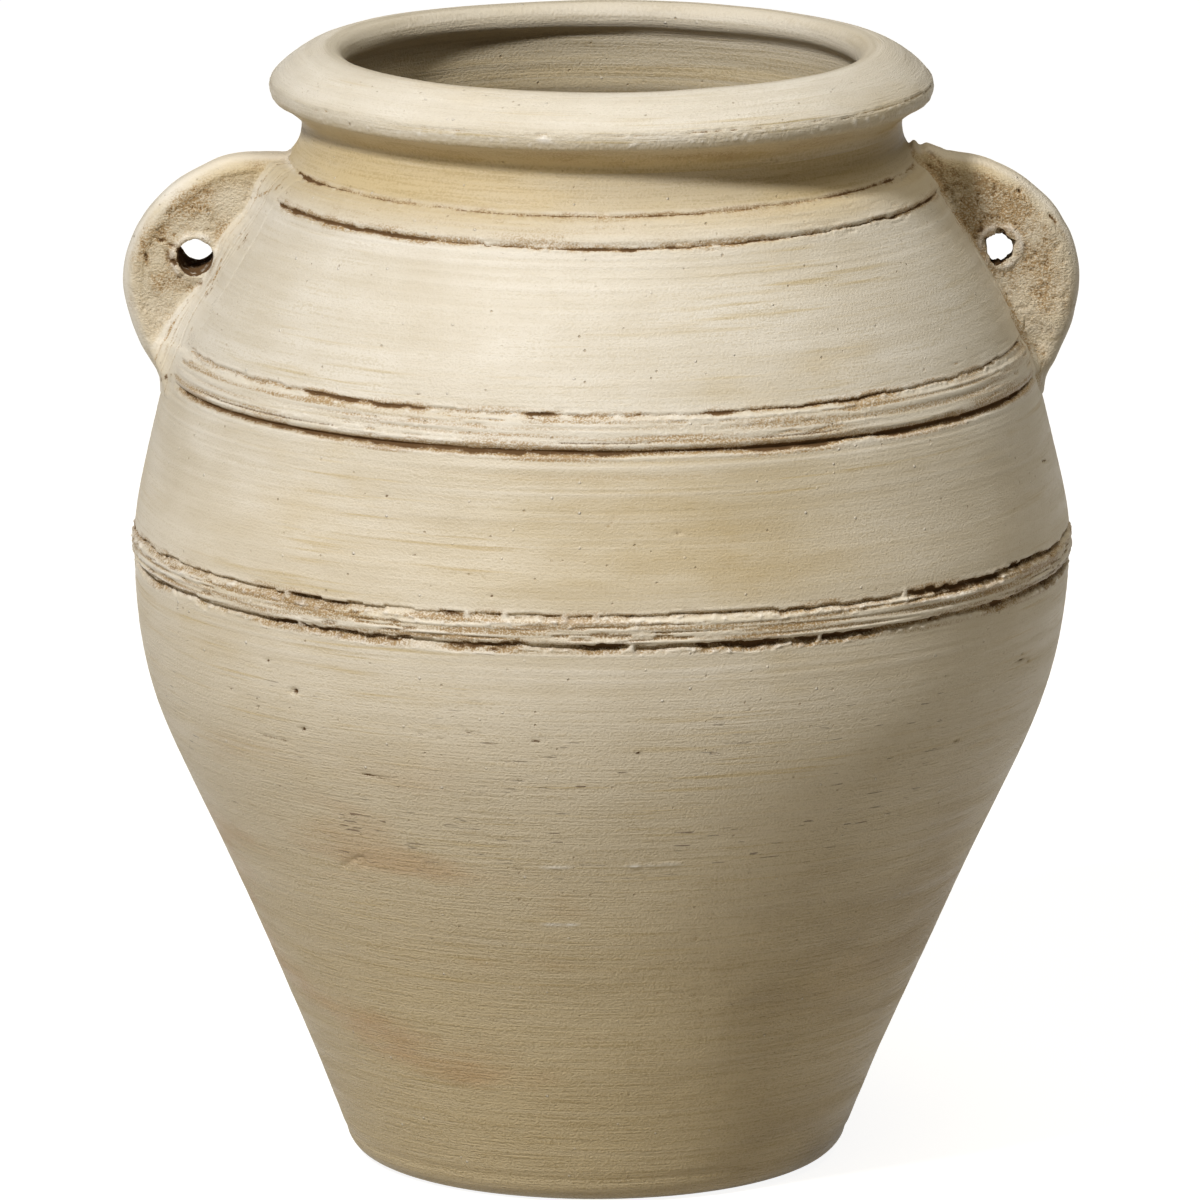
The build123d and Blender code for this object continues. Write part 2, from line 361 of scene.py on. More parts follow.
# %% [markdown]
# ## Dark runs and bridges
#
# In some stretches the tool dug wider and the brown wash filled the cut, and in a few places clay was left
# standing across it. The clearest of these are what makes a line look hand-cut, so they are placed by the
# photograph. On the far side, which it doesn't show, the noise chooses the stretches.

# %% Find the dark runs and bridges
DARK_RUNS = {  # where the photograph shows a line wide and full of brown: from pixel, to pixel, how much
    "belly_upper": [
        ((254, 584), (348, 600), 0.7),
        ((438, 610), (502, 614), 0.8),
        ((546, 616), (598, 616), 0.7),
        ((770, 607), (814, 603), 0.7),
        ((824, 605), (892, 595), 0.5),
        ((909, 595), (1001, 574), 1.3),
        ((1012, 562), (1059, 540), 0.7),
    ],
    "belly_lower": [
        ((262, 616), (410, 640), 0.6),
        ((446, 644), (522, 646), 0.9),
        ((582, 646), (624, 645), 0.5),
        ((698, 647), (783, 644), 0.9),
        ((800, 637), (879, 629), 0.9),
        ((984, 607), (1008, 602), 0.8),
        ((1012, 595), (1066, 567), 0.5),
    ],
    "shoulder_upper": [
        ((306, 388), (422, 408), 0.9),
        ((526, 413), (554, 414), 0.8),
        ((708, 410), (734, 409), 0.9),
        ((776, 404), (899, 392), 0.4),
    ],
    "shoulder_lower": [
        ((184, 388), (370, 438), 0.5),
        ((370, 438), (640, 452), 0.9),
        ((640, 452), (752, 445), 0.5),
        ((752, 445), (831, 441), 0.9),
        ((879, 435), (1018, 390), 1.1),
    ],
    "neck_upper": [
        ((300, 175), (320, 186), 5.0),
        ((642, 214), (700, 213), 0.6),
        ((832, 196), (895, 182), 1.0),
    ],
    "neck_lower": [
        ((282, 206), (340, 224), 4.5),
        ((340, 224), (432, 238), 2.8),
        ((568, 248), (650, 249), 0.8),
        ((730, 244), (780, 240), 0.6),
        ((890, 213), (932, 197), 1.0),
    ],
}
RUN_END = 4  # mm over which a dark run begins and ends
FAR_SIDE = (1.35, 1.5)  # turns between which the photograph's view ends
BRIDGE_PIXELS = {  # clay left standing across a cut, by where the photograph shows it
    "belly_upper": [(467, 618), (505, 615), (565, 617), (597, 617), (287, 581), (906, 600)],
    "belly_lower": [(632, 647), (300, 622), (820, 640)],
}
BRIDGE_WIDTH = 1.6


def dark_share(name, turn, radius):
    """How wide and brown a line is at each turn, from 0 upwards, by the photograph."""
    share, soft = np.zeros_like(turn), RUN_END / radius
    for first, last, much in DARK_RUNS[name]:
        begin, stop = spot_in_photo(*first)[0], spot_in_photo(*last)[0]
        share = np.maximum(share, much * window(turn, begin - soft, begin + soft, stop - soft, stop + soft))
    return share


def bridge_share(name, turn, radius):
    """1 where clay is left standing across a cut, and 0 elsewhere."""
    share = np.zeros_like(turn)
    for pixel in BRIDGE_PIXELS.get(name, ()):
        gap = radius * (turn - spot_in_photo(*pixel)[0])
        share = np.maximum(share, np.exp(-((gap / BRIDGE_WIDTH) ** 4)))
    return share


print(sum(len(runs) for runs in DARK_RUNS.values()), "dark runs placed by the photograph")

# %% [markdown]
# ## Cutting a line
#
# The cut is a step down at a jagged upper edge and a floor that rises again below it. Noise along the line
# sets where the tool hopped, dug or nearly lost the clay, and noise on the wall adds the crumbs and tears.
# The same sums say where the brown wash gathers, so colour and shape always agree. Just under the upper edge
# the umber is partly the wash and partly painted shadow of the lip.

# %% Cut a scored line
def scored_line(turn, height, name):
    size = SCORED[name]
    at, cut, ragged = size["at"], size["cut"], size["ragged"]
    radius = wall_radius(at)
    along = noise_at(ring_places(radius, at, turn), size["seed"])
    lumps = noise_at(ring_places(radius, height, turn), size["seed"])
    path = at + WANDER * (along(120, 1) + 0.4 * along(24, 1, 1))
    path = path + RISE.get(name, 0) * np.sin(turn) ** 2
    jag = 0.5 * along(4.2, 1, 2) + 0.45 * along(1.5, 1, 3)
    jag = jag * ease(along(34, 1, 22), -0.3, 0.4)  # the tool ran clean in places
    jog = ease(along(17, 1, 4), 0.35, 0.4)  # here and there it hopped
    notch = ease(along(7, 1, 21), 0.42, 0.49)
    edge = path + cut / 2 + ragged * (jag + 1.1 * jog - 0.9 * notch)
    full = dark_share(name, turn, radius)
    full = full + 0.7 * ease(along(40, 1, 23), 0.0, 0.3) * ease(np.abs(turn), *FAR_SIDE)
    open_cut = along(60, 1, 5) + 0.6 * along(13, 1, 6)
    open_cut = np.clip(1 + size["gaps"] * (1.7 * open_cut - 0.7), 0, 1.15)
    bridge = bridge_share(name, turn, radius)
    wide = 0.75 + 0.3 * along(34, 1, 13) + 0.2 * along(9, 1, 14) + 0.75 * full
    cut = cut * np.clip(wide, 0.35, 3)
    run = size["floor"] * np.clip(1 + 0.6 * along(22, 1, 7) + 0.6 * along(3.5, 1, 8), 0.2, 1.7)
    below = edge - height
    groove = window(below, 0, 0.45, cut * 0.6, cut + run) * open_cut * (1 - bridge)
    lip_and_highlight = bump_at(below, -0.8, 0.75) * open_cut * (0.6 + 0.5 * lumps(4, 3, 9))
    crumb = np.clip(lumps(2.2, 1.4, 10) - 0.05, 0, 1)
    crumb = crumb * bump_at(below, cut + 0.8 * run, 1.3) * (ragged / 0.5)
    blob = bridge * bump_at(below, 0.9, 1.4)
    tear = ease(lumps(6, 1.1, 15), 0.3, 0.65) * bump_at(below, 1.2, 2.6) * (ragged / 0.6)
    tear = tear * ease(along(30, 1, 16), -0.2, 0.5) * (1 - bridge)
    relief = -size["depth"] * groove + 0.28 * lip_and_highlight + 0.8 * crumb + 0.4 * blob - 0.7 * tear
    # umber just under the upper edge: partly the brown wash, partly painted shadow cast by the lip
    dark = np.exp(-np.clip(below - 0.5, 0, 99) / (0.8 * cut + 0.5 * run))
    brown = size["stain"] + 0.25 * along(52, 1, 17) + 0.2 * along(13, 1, 18)
    brown = np.clip(brown + 0.7 * full, 0.15, 1)
    umber = np.clip(groove * dark * (1.1 + 0.4 * lumps(6, 3, 11)) + 0.8 * tear, 0, 1)
    stained = lumps(6, 2, 24) + 0.5 * lumps(2.5, 1.5, 25)
    pool = np.clip(full, 0, 1) * bump_at(below, 0.6 * cut, 0.5 * cut + 0.6)
    umber = umber + 0.6 * pool * np.clip(0.35 + 0.9 * stained, 0, 1)
    if name == "shoulder_lower":
        scratch = bump_at(below, -BESIDE, 0.5) * ease(along(45, 1, 19), -0.15, 0.2)
        relief, umber = relief - 0.35 * scratch, umber + 0.6 * scratch
    halo = bump_at(below, cut + run, 3.5) + 0.5 * bump_at(below, -2.5, 3.0)
    halo = halo * np.clip(0.2 + lumps(24, 4, 12), 0, 1) * (1 - crumb) * min(1, cut.mean())
    soak = bump_at(below, 0.5 * cut, 0.8 * cut + 0.9) * np.clip(0.45 + lumps(7, 2.5, 20), 0, 1)
    ochre = np.clip(groove * 0.9 + 0.5 * tear + 0.8 * halo + 0.8 * soak + 0.5 * pool, 0, 1)
    # the pale on the lip is a painted highlight along its ridge; the crumbs and bridges are bare pale slip
    pale = np.clip(0.25 * lip_and_highlight + 0.45 * crumb + 0.3 * blob, 0, 1)
    return np.stack([relief, umber * brown, ochre * (0.35 + 0.65 * brown), pale])


line_try = scored_line(np.linspace(-1, 1, 400), np.array([[SCORED["belly_lower"]["at"]]]), "belly_lower")
print("the lower belly line is cut", -line_try[0].mean().round(2), "mm deep on average")

# %% [markdown]
# ## Combed strips
#
# Between its two lines each strip was combed level with a notched rib. The ridges are close, broken and
# crumbly, so they come from a noise that is stretched far round the jar and only a millimetre tall, with
# chips taken out of it.

# %% Comb the strips
STRIP_LINES = {
    "belly_band": ("belly_lower", "belly_upper", 0.8),
    "shoulder_band": ("shoulder_lower", "shoulder_upper", 0.5),
    "neck_band": ("neck_lower", "neck_upper", 0.2),
}


def combed_middle(turn, height, band):
    lower, upper, depth = STRIP_LINES[band]
    low, high = SCORED[lower]["at"], SCORED[upper]["at"]
    place = ring_places(wall_radius((low + high) / 2), height, turn)
    lumps = noise_at(place, SCORED[lower]["seed"] + 60)
    within = window(height, low + 0.6, low + 2.4, high - 3, high - 0.6)
    ridges = lumps(75, 1.15) + 0.5 * lumps(28, 0.8, 1)
    ridges = ridges * (0.65 + 0.5 * lumps(40, 6, 2))
    chips = ease(lumps(9, 0.8, 3), 0.25, 0.6) * ease(lumps(45, 9, 4), -0.4, 0.3)
    crumbs = np.clip(lumps(1.9, 1.3, 5) - 0.3, 0, 1) * ease(lumps(38, 7, 6), -0.1, 0.6)
    relief = within * (BAND_PROUD * 0.75 + depth * (ridges - 0.8 * chips + 0.9 * crumbs))
    soaked = 1.1 * np.clip(lumps(34, 1.3, 7) + 0.05, 0, 1)
    umber = within * depth * np.clip(0.5 * chips + 0.7 * np.clip(-ridges - 0.4, 0, 1), 0, 1)
    ochre = within * depth * np.clip(0.9 * chips + 1.3 * np.clip(-ridges + 0.05, 0, 1) + soaked, 0, 1)
    pale = within * depth * np.clip(ridges * 0.7 + crumbs, 0, 1)
    return np.stack([relief, umber, ochre, pale])


comb_try = combed_middle(np.linspace(-1, 1, 400), np.array([[sum(belly_zone) / 2]]), "belly_band")
print("the belly strip's comb ridges differ by", np.ptp(comb_try[0]).round(2), "mm")


# %% [markdown]
# ## Pits, drags and scratches
#
# A grain of grit that the rib catches leaves a short level drag, a burst lime grain leaves a pit, and a
# fingernail leaves an arc. The clearest ones are set where the photograph shows them; many small ones come
# later, in the slip's own material.

# %% Place the pits and drags
DRAGS = [  # pixel where each drag starts and ends
    ((250, 731), (300, 745)),
    ((459, 731), (483, 736)),
    ((485, 760), (520, 764)),
    ((527, 740), (543, 743)),
    ((349, 771), (398, 782)),
    ((414, 733), (424, 735)),
    ((435, 738), (447, 740)),
    ((512, 779), (524, 781)),
    ((636, 752), (645, 758)),
    ((228, 688), (236, 692)),
    ((950, 742), (962, 738)),
    ((1012, 663), (1030, 657)),
    ((1041, 461), (1051, 460)),
    ((413, 394), (423, 394)),
    ((238, 249), (250, 232)),
    ((203, 298), (214, 287)),
]
PITS = [((294, 692), 1.5), ((303, 730), 1.1), ((258, 707), 0.7), ((236, 716), 0.6), ((268, 661), 0.8)]
PITS += [((386, 496), 0.7), ((415, 555), 0.6), ((678, 533), 0.8), ((492, 596), 0.6), ((1022, 654), 0.7)]
PITS += [((1028, 661), 0.7), ((1017, 668), 0.6), ((1034, 640), 0.6)]
SCRATCHES = [((537, 867), (577, 867)), ((617, 866), (690, 863)), ((537, 924), (582, 924))]
NAIL_ARC = [(342, 868), (350, 862), (360, 857), (366, 860), (362, 868)]
HAIRLINES = [  # long shallow scratches of the brush
    ((300, 951), (372, 957)),
    ((372, 957), (462, 962)),
    ((312, 1037), (350, 1055)),
    ((620, 990), (760, 995)),
    ((392, 1031), (480, 1041)),
    ((702, 1085), (876, 1062)),
    ((540, 925), (582, 923)),
    ((602, 534), (620, 512)),
    ((944, 367), (964, 361)),
    ((967, 360), (988, 350)),
    ((991, 348), (1012, 336)),
]


print(len(DRAGS), "drags and", len(PITS), "pits placed by the photograph")

# %% [markdown]
# ## Cutting the wounds
#
# Each wound is a stroke on the wall between two places. The distance to the stroke gives its soft groove or
# ridge, and a fine noise breaks it up, because a dragged grain skips.

# %% Cut the wounds
WOUNDS = [  # strokes, their width, how far they stand out, and the umber, ochre and pale slip in them
    (DRAGS, 0.6, (-0.6, 0.8, 0, 0)),
    # the pale along the scratches is a painted highlight on their raised edge
    (SCRATCHES, 0.75, (0.5, 0, 0, 0.8)),
    (HAIRLINES, 0.5, (-0.25, 0, 0.45, 0)),
]


def distance_to_line(across, up, run, climb):
    """Distance to a stroke that starts at zero; a drag fades out at both ends."""
    t = np.clip((across * run + up * climb) / max(run**2 + climb**2, 1e-6), 0, 1)
    taper = 1.3 * (2 * t - 1) ** 4 if run else 0
    return np.hypot(across - t * run, up - t * climb) + taper


def distance_to_stroke(turn, height, start, end):
    """Millimetres on the wall from each vertex to a stroke between two pixels of the photograph."""
    (turn_a, high_a), (turn_b, high_b) = spot_in_photo(*start), spot_in_photo(*end)
    radius = wall_radius((high_a + high_b) / 2)
    across, run = radius * (turn - turn_a), radius * (turn_b - turn_a)
    return distance_to_line(across, height - high_a, run, high_b - high_a)


def small_wounds(turn, height):
    marks = np.zeros((4, *np.broadcast(turn, height).shape))
    broken = 0.75 + 0.6 * clay_noise(ring_places(200, height, turn), 3.5, 1.5, 71)
    for strokes, width, shares in WOUNDS:
        for start, end in strokes:
            line = bump_at(distance_to_stroke(turn, height, start, end), 0, width) * broken
            marks += np.multiply.outer(shares, line)
    for pixel, size in PITS:
        dig = bump_at(distance_to_stroke(turn, height, pixel, pixel), 0, size)
        marks[:2] += np.multiply.outer((-1.6 * size, 1), dig)
    for start, end in zip(NAIL_ARC, NAIL_ARC[1:]):
        dig = bump_at(distance_to_stroke(turn, height, start, end), 0, 1.3)
        marks += np.multiply.outer((-0.9, 0, 0.3, 0), dig)
    marks[1] = np.clip(marks[1], 0, 1)
    return marks


nail_turn, nail_height = spot_in_photo(*NAIL_ARC[2])
print("the nail mark is", -small_wounds(np.array([nail_turn]), nail_height)[0].min().round(2), "mm deep")

# %% [markdown]
# ## Turning a ring
#
# Every drum and strip is one closed ring: an outer skin of many fine rows, a join face at each end, and an
# inner skin with soft throwing rings. A lathe modifier can't carry marks that change round the jar, so the
# rows and columns are laid out as points, and quads are stretched between them.

# %% Turn one ring of clay
WALL_T = 13
LET_IN = 4  # how deep a strip sits in the wall behind it


def outward(height):
    """The wall's direction outwards, as its radial part and its upward part."""
    slope = wall_radius(height + 0.5) - wall_radius(height - 0.5)
    size = np.sqrt(1 + slope**2)
    return 1 / size, -slope / size


def even_turns(columns, front_share=0.0):
    """Turns of the columns; a front share packs them closer where small marks are placed."""
    u = np.linspace(-1, 1, columns, endpoint=False)
    return math.pi * ((1 - front_share) * u + front_share * u**3)


def outer_skin(height, turn, relief):
    """Rows of the wall, moved outwards by the relief."""
    out, up = outward(height)
    return ring_places(wall_radius(height) + relief * out, height + relief * up, turn)


def clay_object(name, mesh, marks, sand):
    """A smooth piece whose points keep their umber, ochre and pale marks, and how sandy they are."""
    rgba = np.column_stack([np.clip(mark, 0, 1).ravel() for mark in marks] + [sand])
    colour = mesh.color_attributes.new("clay_marks", "FLOAT_COLOR", "POINT")
    colour.data.foreach_set("color", rgba.ravel())
    mesh.shade_smooth()
    return put_in_scene(name, mesh)


def ring_object(name, rows, marks, corner_rows, skin_rows):
    """A closed ring from rows of places; marks colour it, and corner rows stay sharp."""
    count, columns = rows.shape[:2]
    mesh = bpy.data.meshes.new(name)
    index = np.arange(count * columns).reshape(count, columns)
    nxt, up = np.roll(index, -1, axis=1), np.roll(index, -1, axis=0)
    quads = np.stack([index, nxt, np.roll(up, -1, axis=1), up], axis=-1).reshape(-1, 4)
    mesh.from_pydata((lean_over(rows).reshape(-1, 3) * MM).tolist(), [], quads.tolist())
    thing = clay_object(name, mesh, marks[1:], np.ones(count * columns))
    ends = np.empty(len(mesh.edges) * 2, int)
    mesh.edges.foreach_get("vertices", ends)
    row_of = ends.reshape(-1, 2) // columns
    sharp = (row_of[:, 0] == row_of[:, 1]) & np.isin(row_of[:, 0], corner_rows)
    mesh.attributes.new("sharp_edge", "BOOLEAN", "EDGE").data.foreach_set("value", sharp)
    lay_out_skin(mesh, rows, skin_rows)
    return thing


foot_slope = -outward(foot_top + 5)[1]
print("at the foot the wall faces down by", round(math.degrees(math.asin(foot_slope))), "degrees")

# %% [markdown]
# ## Laying the skin flat
#
# The ring's skin is laid flat on a square picture: it is cut into a few strips that are stacked, the outer
# skin gets most of the square, and the inside a narrow share.

# %% Lay the skin flat
OUTER_SHARE = 0.8
STRIP_GAP = 0.006
SIDE_GAP = 0.002
SHARE_GAP = 0.02


def lay_out_skin(mesh, rows, skin_rows):
    count, columns = rows.shape[:2]
    length = np.r_[0, np.cumsum(np.linalg.norm(np.diff(rows[:, 0], axis=0), axis=1))]
    around = 2 * math.pi * np.hypot(rows[:skin_rows, 0, 0], rows[:skin_rows, 0, 1]).mean()
    closing = np.linalg.norm(rows[0, 0] - rows[-1, 0])
    uv = np.empty((count, columns, 4, 2))
    for first, last, base, share in (
        (0, skin_rows - 1, 0, OUTER_SHARE),
        (skin_rows - 1, count, OUTER_SHARE + SHARE_GAP, 1 - SHARE_GAP - OUTER_SHARE),
    ):
        span = np.r_[length, length[-1] + closing][first : last + 1]
        span = (span - span[0]) / (span[-1] - span[0])
        tall = length[min(last, count - 1)] - length[first]
        strips = max(1, int(round(math.sqrt(around / max(tall, 1) * share))))
        while columns % strips:
            strips -= 1
        per = columns // strips
        strip, along = np.divmod(np.arange(columns), per)
        strip_tall = share / strips
        for k in range(first, last):
            low = base + strip * strip_tall + span[k - first] * (strip_tall - STRIP_GAP)
            high = base + strip * strip_tall + span[k - first + 1] * (strip_tall - STRIP_GAP)
            left, right = (SIDE_GAP + (1 - 2 * SIDE_GAP) * (along + i) / per for i in (0, 1))
            for corner, place in enumerate(((left, low), (right, low), (right, high), (left, high))):
                uv[k, :, corner] = np.stack(place, -1)
    mesh.uv_layers.new(name="OFBake").data.foreach_set("uv", uv.ravel())


print("outer skins get", OUTER_SHARE, "of the square")

# %% [markdown]
# ## The drums
#
# Four drums make the body: foot, lower wall, upper wall and shoulder, with a short neck above. Behind each
# strip the drums are rebated and meet out of sight, so a drum's outer skin stops at the strip while its
# inner skin goes on to the join.

# %% Turn the drums
def middle(zone):
    return (zone[0] + zone[1]) / 2


INNER_ROW = 3.0  # mm between rows on the inside, where nobody looks closely


def inner_skin(low, high, turn):
    """Rows of the inner skin from high to low, with throwing rings, a little darker than outside."""
    height = np.linspace(high, low, max(3, int((high - low) / INNER_ROW)))[:, None]
    place = ring_places(inner_radius(height), height, turn)
    rings = 0.35 * np.sin(height / 1.45 + 1.5 * clay_noise(place, 120, 30, 31)) * ease(height, 60, 120)
    rings = rings + 0.5 * clay_noise(place, 90, 40, 32)
    fade = window(height, low, low + 2, high - 2, high)
    rows = ring_places(inner_radius(height) + rings * fade, height, turn)
    # a faint ochre tint over the inner skin
    inner_ochre = 0.08 + 0.1 * clay_noise(place, 80, 4, 33)
    none = np.zeros_like(rings)
    return rows, np.stack([none, none, np.clip(inner_ochre, 0, 1), none])


def rebate(heights, turn):
    """Rows of the shallow seat behind a strip."""
    return [ring_places(wall_radius(height) - LET_IN, height, turn)[None] for height in heights]


def drum(node, low, high, join_low, join_high, row, columns, front_share):
    """A drum whose outer skin runs from low to high and whose joins lie at join_low and join_high."""
    turn = even_turns(columns, front_share)
    height = np.linspace(low, high, int((high - low) / row) + 1)[:, None]
    place = ring_places(wall_radius(height), height, turn)
    marks = throwing_marks(place) + small_wounds(turn, height)
    outer = outer_skin(height, turn, marks[0])
    top = rebate((high, join_high), turn) if join_high > high else []
    bottom = rebate((join_low, low), turn) if join_low < low else []
    inside, inside_marks = inner_skin(join_low, join_high, turn)
    rows = np.concatenate([outer, *top, inside, *bottom])
    plain = np.zeros((4, 1, columns))
    marks = np.concatenate([marks] + [plain] * len(top) + [inside_marks] + [plain] * len(bottom), axis=1)
    skin = len(outer)
    corners = [0, *range(skin - 1, skin + len(top) + 1), *range(len(rows) - len(bottom) - 1, len(rows))]
    return ring_object(node + "_clay", rows, marks, corners, skin)


belly_join, shoulder_join, neck_join = middle(belly_zone), middle(shoulder_zone), middle(neck_zone)
DRUMS = {  # outer skin from and to, joins below and above, mm between rows, columns, share crowded in front
    "foot_wall": (foot_top, drum_join, foot_top, drum_join, 1.0, 520, 0.3),
    "lower_wall": (drum_join, belly_zone[0], drum_join, belly_join, 0.85, 540, 0.3),
    "upper_wall": (belly_zone[1], shoulder_zone[0], belly_join, shoulder_join, 0.6, 720, 0.2),
    "shoulder": (shoulder_zone[1], neck_zone[0], shoulder_join, neck_join, 0.6, 720, 0.2),
    "neck": (neck_zone[1], rim_foot, neck_join, rim_foot, 0.5, 720, 0.0),
}
made = {node: drum(node, *sizes) for node, sizes in DRUMS.items()}
for node, thing in made.items():
    print(node, "has", len(thing.data.polygons), "faces")

# %% [markdown]
# ## The combed strips
#
# Each strip is a flat coil of clay pressed over a join and let 4 mm into the wall. Its skin is the finest
# of all, because the scored lines and the comb ridges are what the eye finds first.

# %% Press on the strips
STRIP_ROW = 0.45
STRIP_COLUMNS = 1760
STRIP_EDGE = 0.8  # mm at a strip's edges that stay clean


def strip(band, zone):
    low, high = zone
    turn = even_turns(STRIP_COLUMNS, 0.3)
    height = np.linspace(low, high, int((high - low) / STRIP_ROW) + 1)[:, None]
    place = ring_places(wall_radius(height), height, turn)
    lower, upper, _ = STRIP_LINES[band]
    cut = scored_line(turn, height, lower) + scored_line(turn, height, upper)
    cut = cut + combed_middle(turn, height, band)
    cut = cut * window(height, low, low + STRIP_EDGE, high - STRIP_EDGE, high)
    marks = throwing_marks(place) + cut
    outer = outer_skin(height, turn, marks[0])
    rows = np.concatenate([outer, *rebate((high, low), turn)])
    marks = np.concatenate([marks, np.zeros((4, 2, STRIP_COLUMNS))], axis=1)
    skin = len(outer)
    return ring_object(band + "_clay", rows, marks, [0, skin - 1, skin, skin + 1], skin)


for band, zone in zip(BAND_NODES, (belly_zone, shoulder_zone, neck_zone)):
    made[band] = strip(band, zone)
    print(band, "has", len(made[band].data.polygons), "faces")

# %% [markdown]
# ## The rim
#
# The rim is a thick roll: its top falls outwards from the mouth, a ragged crease runs round where the roll
# was pressed down over the nose, and the underside is left rough. Its section is felt with the same kind of
# probe, from a point in the middle of the roll.

# %% Feel the rim's section
RIM_MIDDLE = (131.0, 484.0)  # radius and height inside the roll
PROBE_AWAY = 60  # mm from that point, where the probe starts
THROAT_BLEND = 14  # mm over which the roll runs into the throat's inner skin
SMOOTHED = 7  # steps to each side over which the touches are evened out


def rim_section(steps):
    """The roll's outline from the neck round the nose, over the top and down into the throat."""
    found = []
    for angle in np.radians(np.linspace(-84, 236, 321)):
        aim = Vector((0, -math.cos(angle), math.sin(angle)))
        centre = Vector((0, -RIM_MIDDLE[0], RIM_MIDDLE[1])) * MM
        hit, place, _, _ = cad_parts["rim"].ray_cast(centre + aim * PROBE_AWAY * MM, -aim)
        if hit and place.z / MM > rim_foot + 0.2:
            found.append((-place.y / MM, place.z / MM))
    found = np.array([(wall_radius(rim_foot), rim_foot), *found])
    throat_r = inner_radius(rim_foot)
    low_inside = 1 - ease(found[:, 1], rim_foot, rim_foot + THROAT_BLEND)
    low_inside = low_inside * (np.arange(len(found)) > len(found) / 2)
    found[:, 0] = found[:, 0] + (throat_r - found[-1, 0]) * low_inside
    found = np.vstack([found, (throat_r, rim_foot)])
    length = np.r_[0, np.cumsum(np.linalg.norm(np.diff(found, axis=0), axis=1))]
    even = np.linspace(0, length[-1], 700)
    dense = np.stack([np.interp(even, length, found[:, i]) for i in (0, 1)], axis=1)
    kernel = np.hanning(2 * SMOOTHED + 1)
    for i in (0, 1):
        dense[:, i] = np.convolve(np.pad(dense[:, i], SMOOTHED, "edge"), kernel / kernel.sum(), "valid")
    dense[0], dense[-1] = found[0], found[-1]
    wanted = np.interp(np.linspace(0, 1, steps), [0, 0.34, 0.68, 1], [0, 0.28, 0.62, 1]) * length[-1]
    return np.stack([np.interp(wanted, even, dense[:, i]) for i in (0, 1)], axis=1), wanted


section, section_length = rim_section(112)
print("the roll is", round(section_length[-1]), "mm round its section")

# %% [markdown]
# ## Rolling the rim
#
# The crease is placed by its length along the section, so it follows the roll. It is cleanest and brownest
# a little right of the middle, grit hangs under it, and the top keeps the fine lines of a wet finger. At
# the neck and in the throat the roll runs out into its neighbours without a step.

# %% Roll the rim
CREASE_Z = 485.6
RIM_COLUMNS = 840
run_in, run_up = np.gradient(section[:, 0]), np.gradient(section[:, 1])
section_out = np.stack([run_up, -run_in], axis=1) / np.hypot(run_in, run_up)[:, None]
rim_turn = even_turns(RIM_COLUMNS, 0.15)
rim_r, rim_z = section[:, :1], section[:, 1:]
rim_place = ring_places(135, section_length[:, None], rim_turn)  # noise follows the section's length
crease_at = float(np.interp(CREASE_Z, section[:40, 1], section_length[:40]))
along, lumps = noise_at(ring_places(147, 0, rim_turn), 300), noise_at(rim_place, 300)
crease_path = crease_at + 0.8 * along(70, 1, 1) + 0.5 * along(6, 1, 2)
past = section_length[:, None] - crease_path  # mm over the crease, towards the top
torn = 0.6 + 0.2 * np.sin(rim_turn) + 0.6 * along(45, 1, 3)
right_of_middle = bump_at(rim_turn, 0.5, 0.4)  # there the crease is cleanest and brownest
torn = np.clip(torn + 0.5 * along(9, 1, 4) + 0.35 * right_of_middle, 0, 1)
crease = bump_at(past, -0.2, 0.42) * torn * np.clip(0.7 + 0.9 * along(3, 1, 11), 0, 1)
grit = np.clip(lumps(1.9, 1.5, 5) - 0.15, 0, 1) * window(past, -9, -5, -1, 0) * torn
top_lines = lumps(210, 1.1, 6) * ease(past, 1, 4)
wavy = 0.5 * lumps(80, 25, 7) + 0.25 * lumps(26, 9, 8)
rim_relief = wavy + 0.06 * top_lines - 0.9 * crease + 0.7 * grit
rim_relief = rim_relief + 0.15 * bump_at(past, 0.9, 0.8) * torn
# the ochre under the roll is partly stain and partly painted shade, where the roll hangs over the neck
under = ease(-past, 3, 9)
rim_ochre = 0.75 * crease + 0.15 * under + 0.35 * np.clip(lumps(14, 5, 9), 0, 1) * under
rim_ochre = rim_ochre + np.clip(-top_lines - 0.35, 0, 1) * 0.25
throat = ease(section_length[:, None], section_length[-1] - 24, section_length[-1] - 16)
rim_ochre = rim_ochre + throat * (0.08 + 0.1 * lumps(120, 1.6, 10))
# grit is bare pale slip; the paler top of the roll is painted light, where the lamps fall on it
rim_pale_and_light = grit + 0.2 * ease(past, 0, 4) * (1 - throat)
rim_umber = crease * (0.32 + 0.4 * right_of_middle)
rim_marks = np.stack([rim_relief, rim_umber, rim_ochre, rim_pale_and_light])
near_neck = 1 - ease(section_length[:, None], 0, 7)  # the roll grows out of the neck without a step
rim_marks = rim_marks * (1 - near_neck) + throwing_marks(ring_places(rim_r, rim_z, rim_turn)) * near_neck
rim_relief = rim_marks[0] * (1 - ease(section_length[:, None], section_length[-1] - 6, section_length[-1]))
out, up = section_out[:, :1], section_out[:, 1:]
rim_rows = ring_places(rim_r + rim_relief * out, rim_z + rim_relief * up, rim_turn)
made["rim"] = ring_object("rim_clay", rim_rows, rim_marks, [0, len(section) - 1], len(section))
print("rim has", len(made["rim"].data.polygons), "faces; crease", round(crease_at, 1), "mm up the roll")

# %% [markdown]
# ## The base
#
# The base is a flat disc with a rounded heel. It closes the foot, and only its heel shows, but the jar may
# be lifted and looked at from below, so the underside gets the drag marks of a cutting wire.

# %% Lay the base
HEEL_FROM = 98  # radius where the flat underside turns up into the heel
HEEL_WIDE, HEEL_TALL = 14.2, 13
BASE_COLUMNS = 540
BASE_PIN = 0.1  # radius of the innermost rows, before they are drawn together


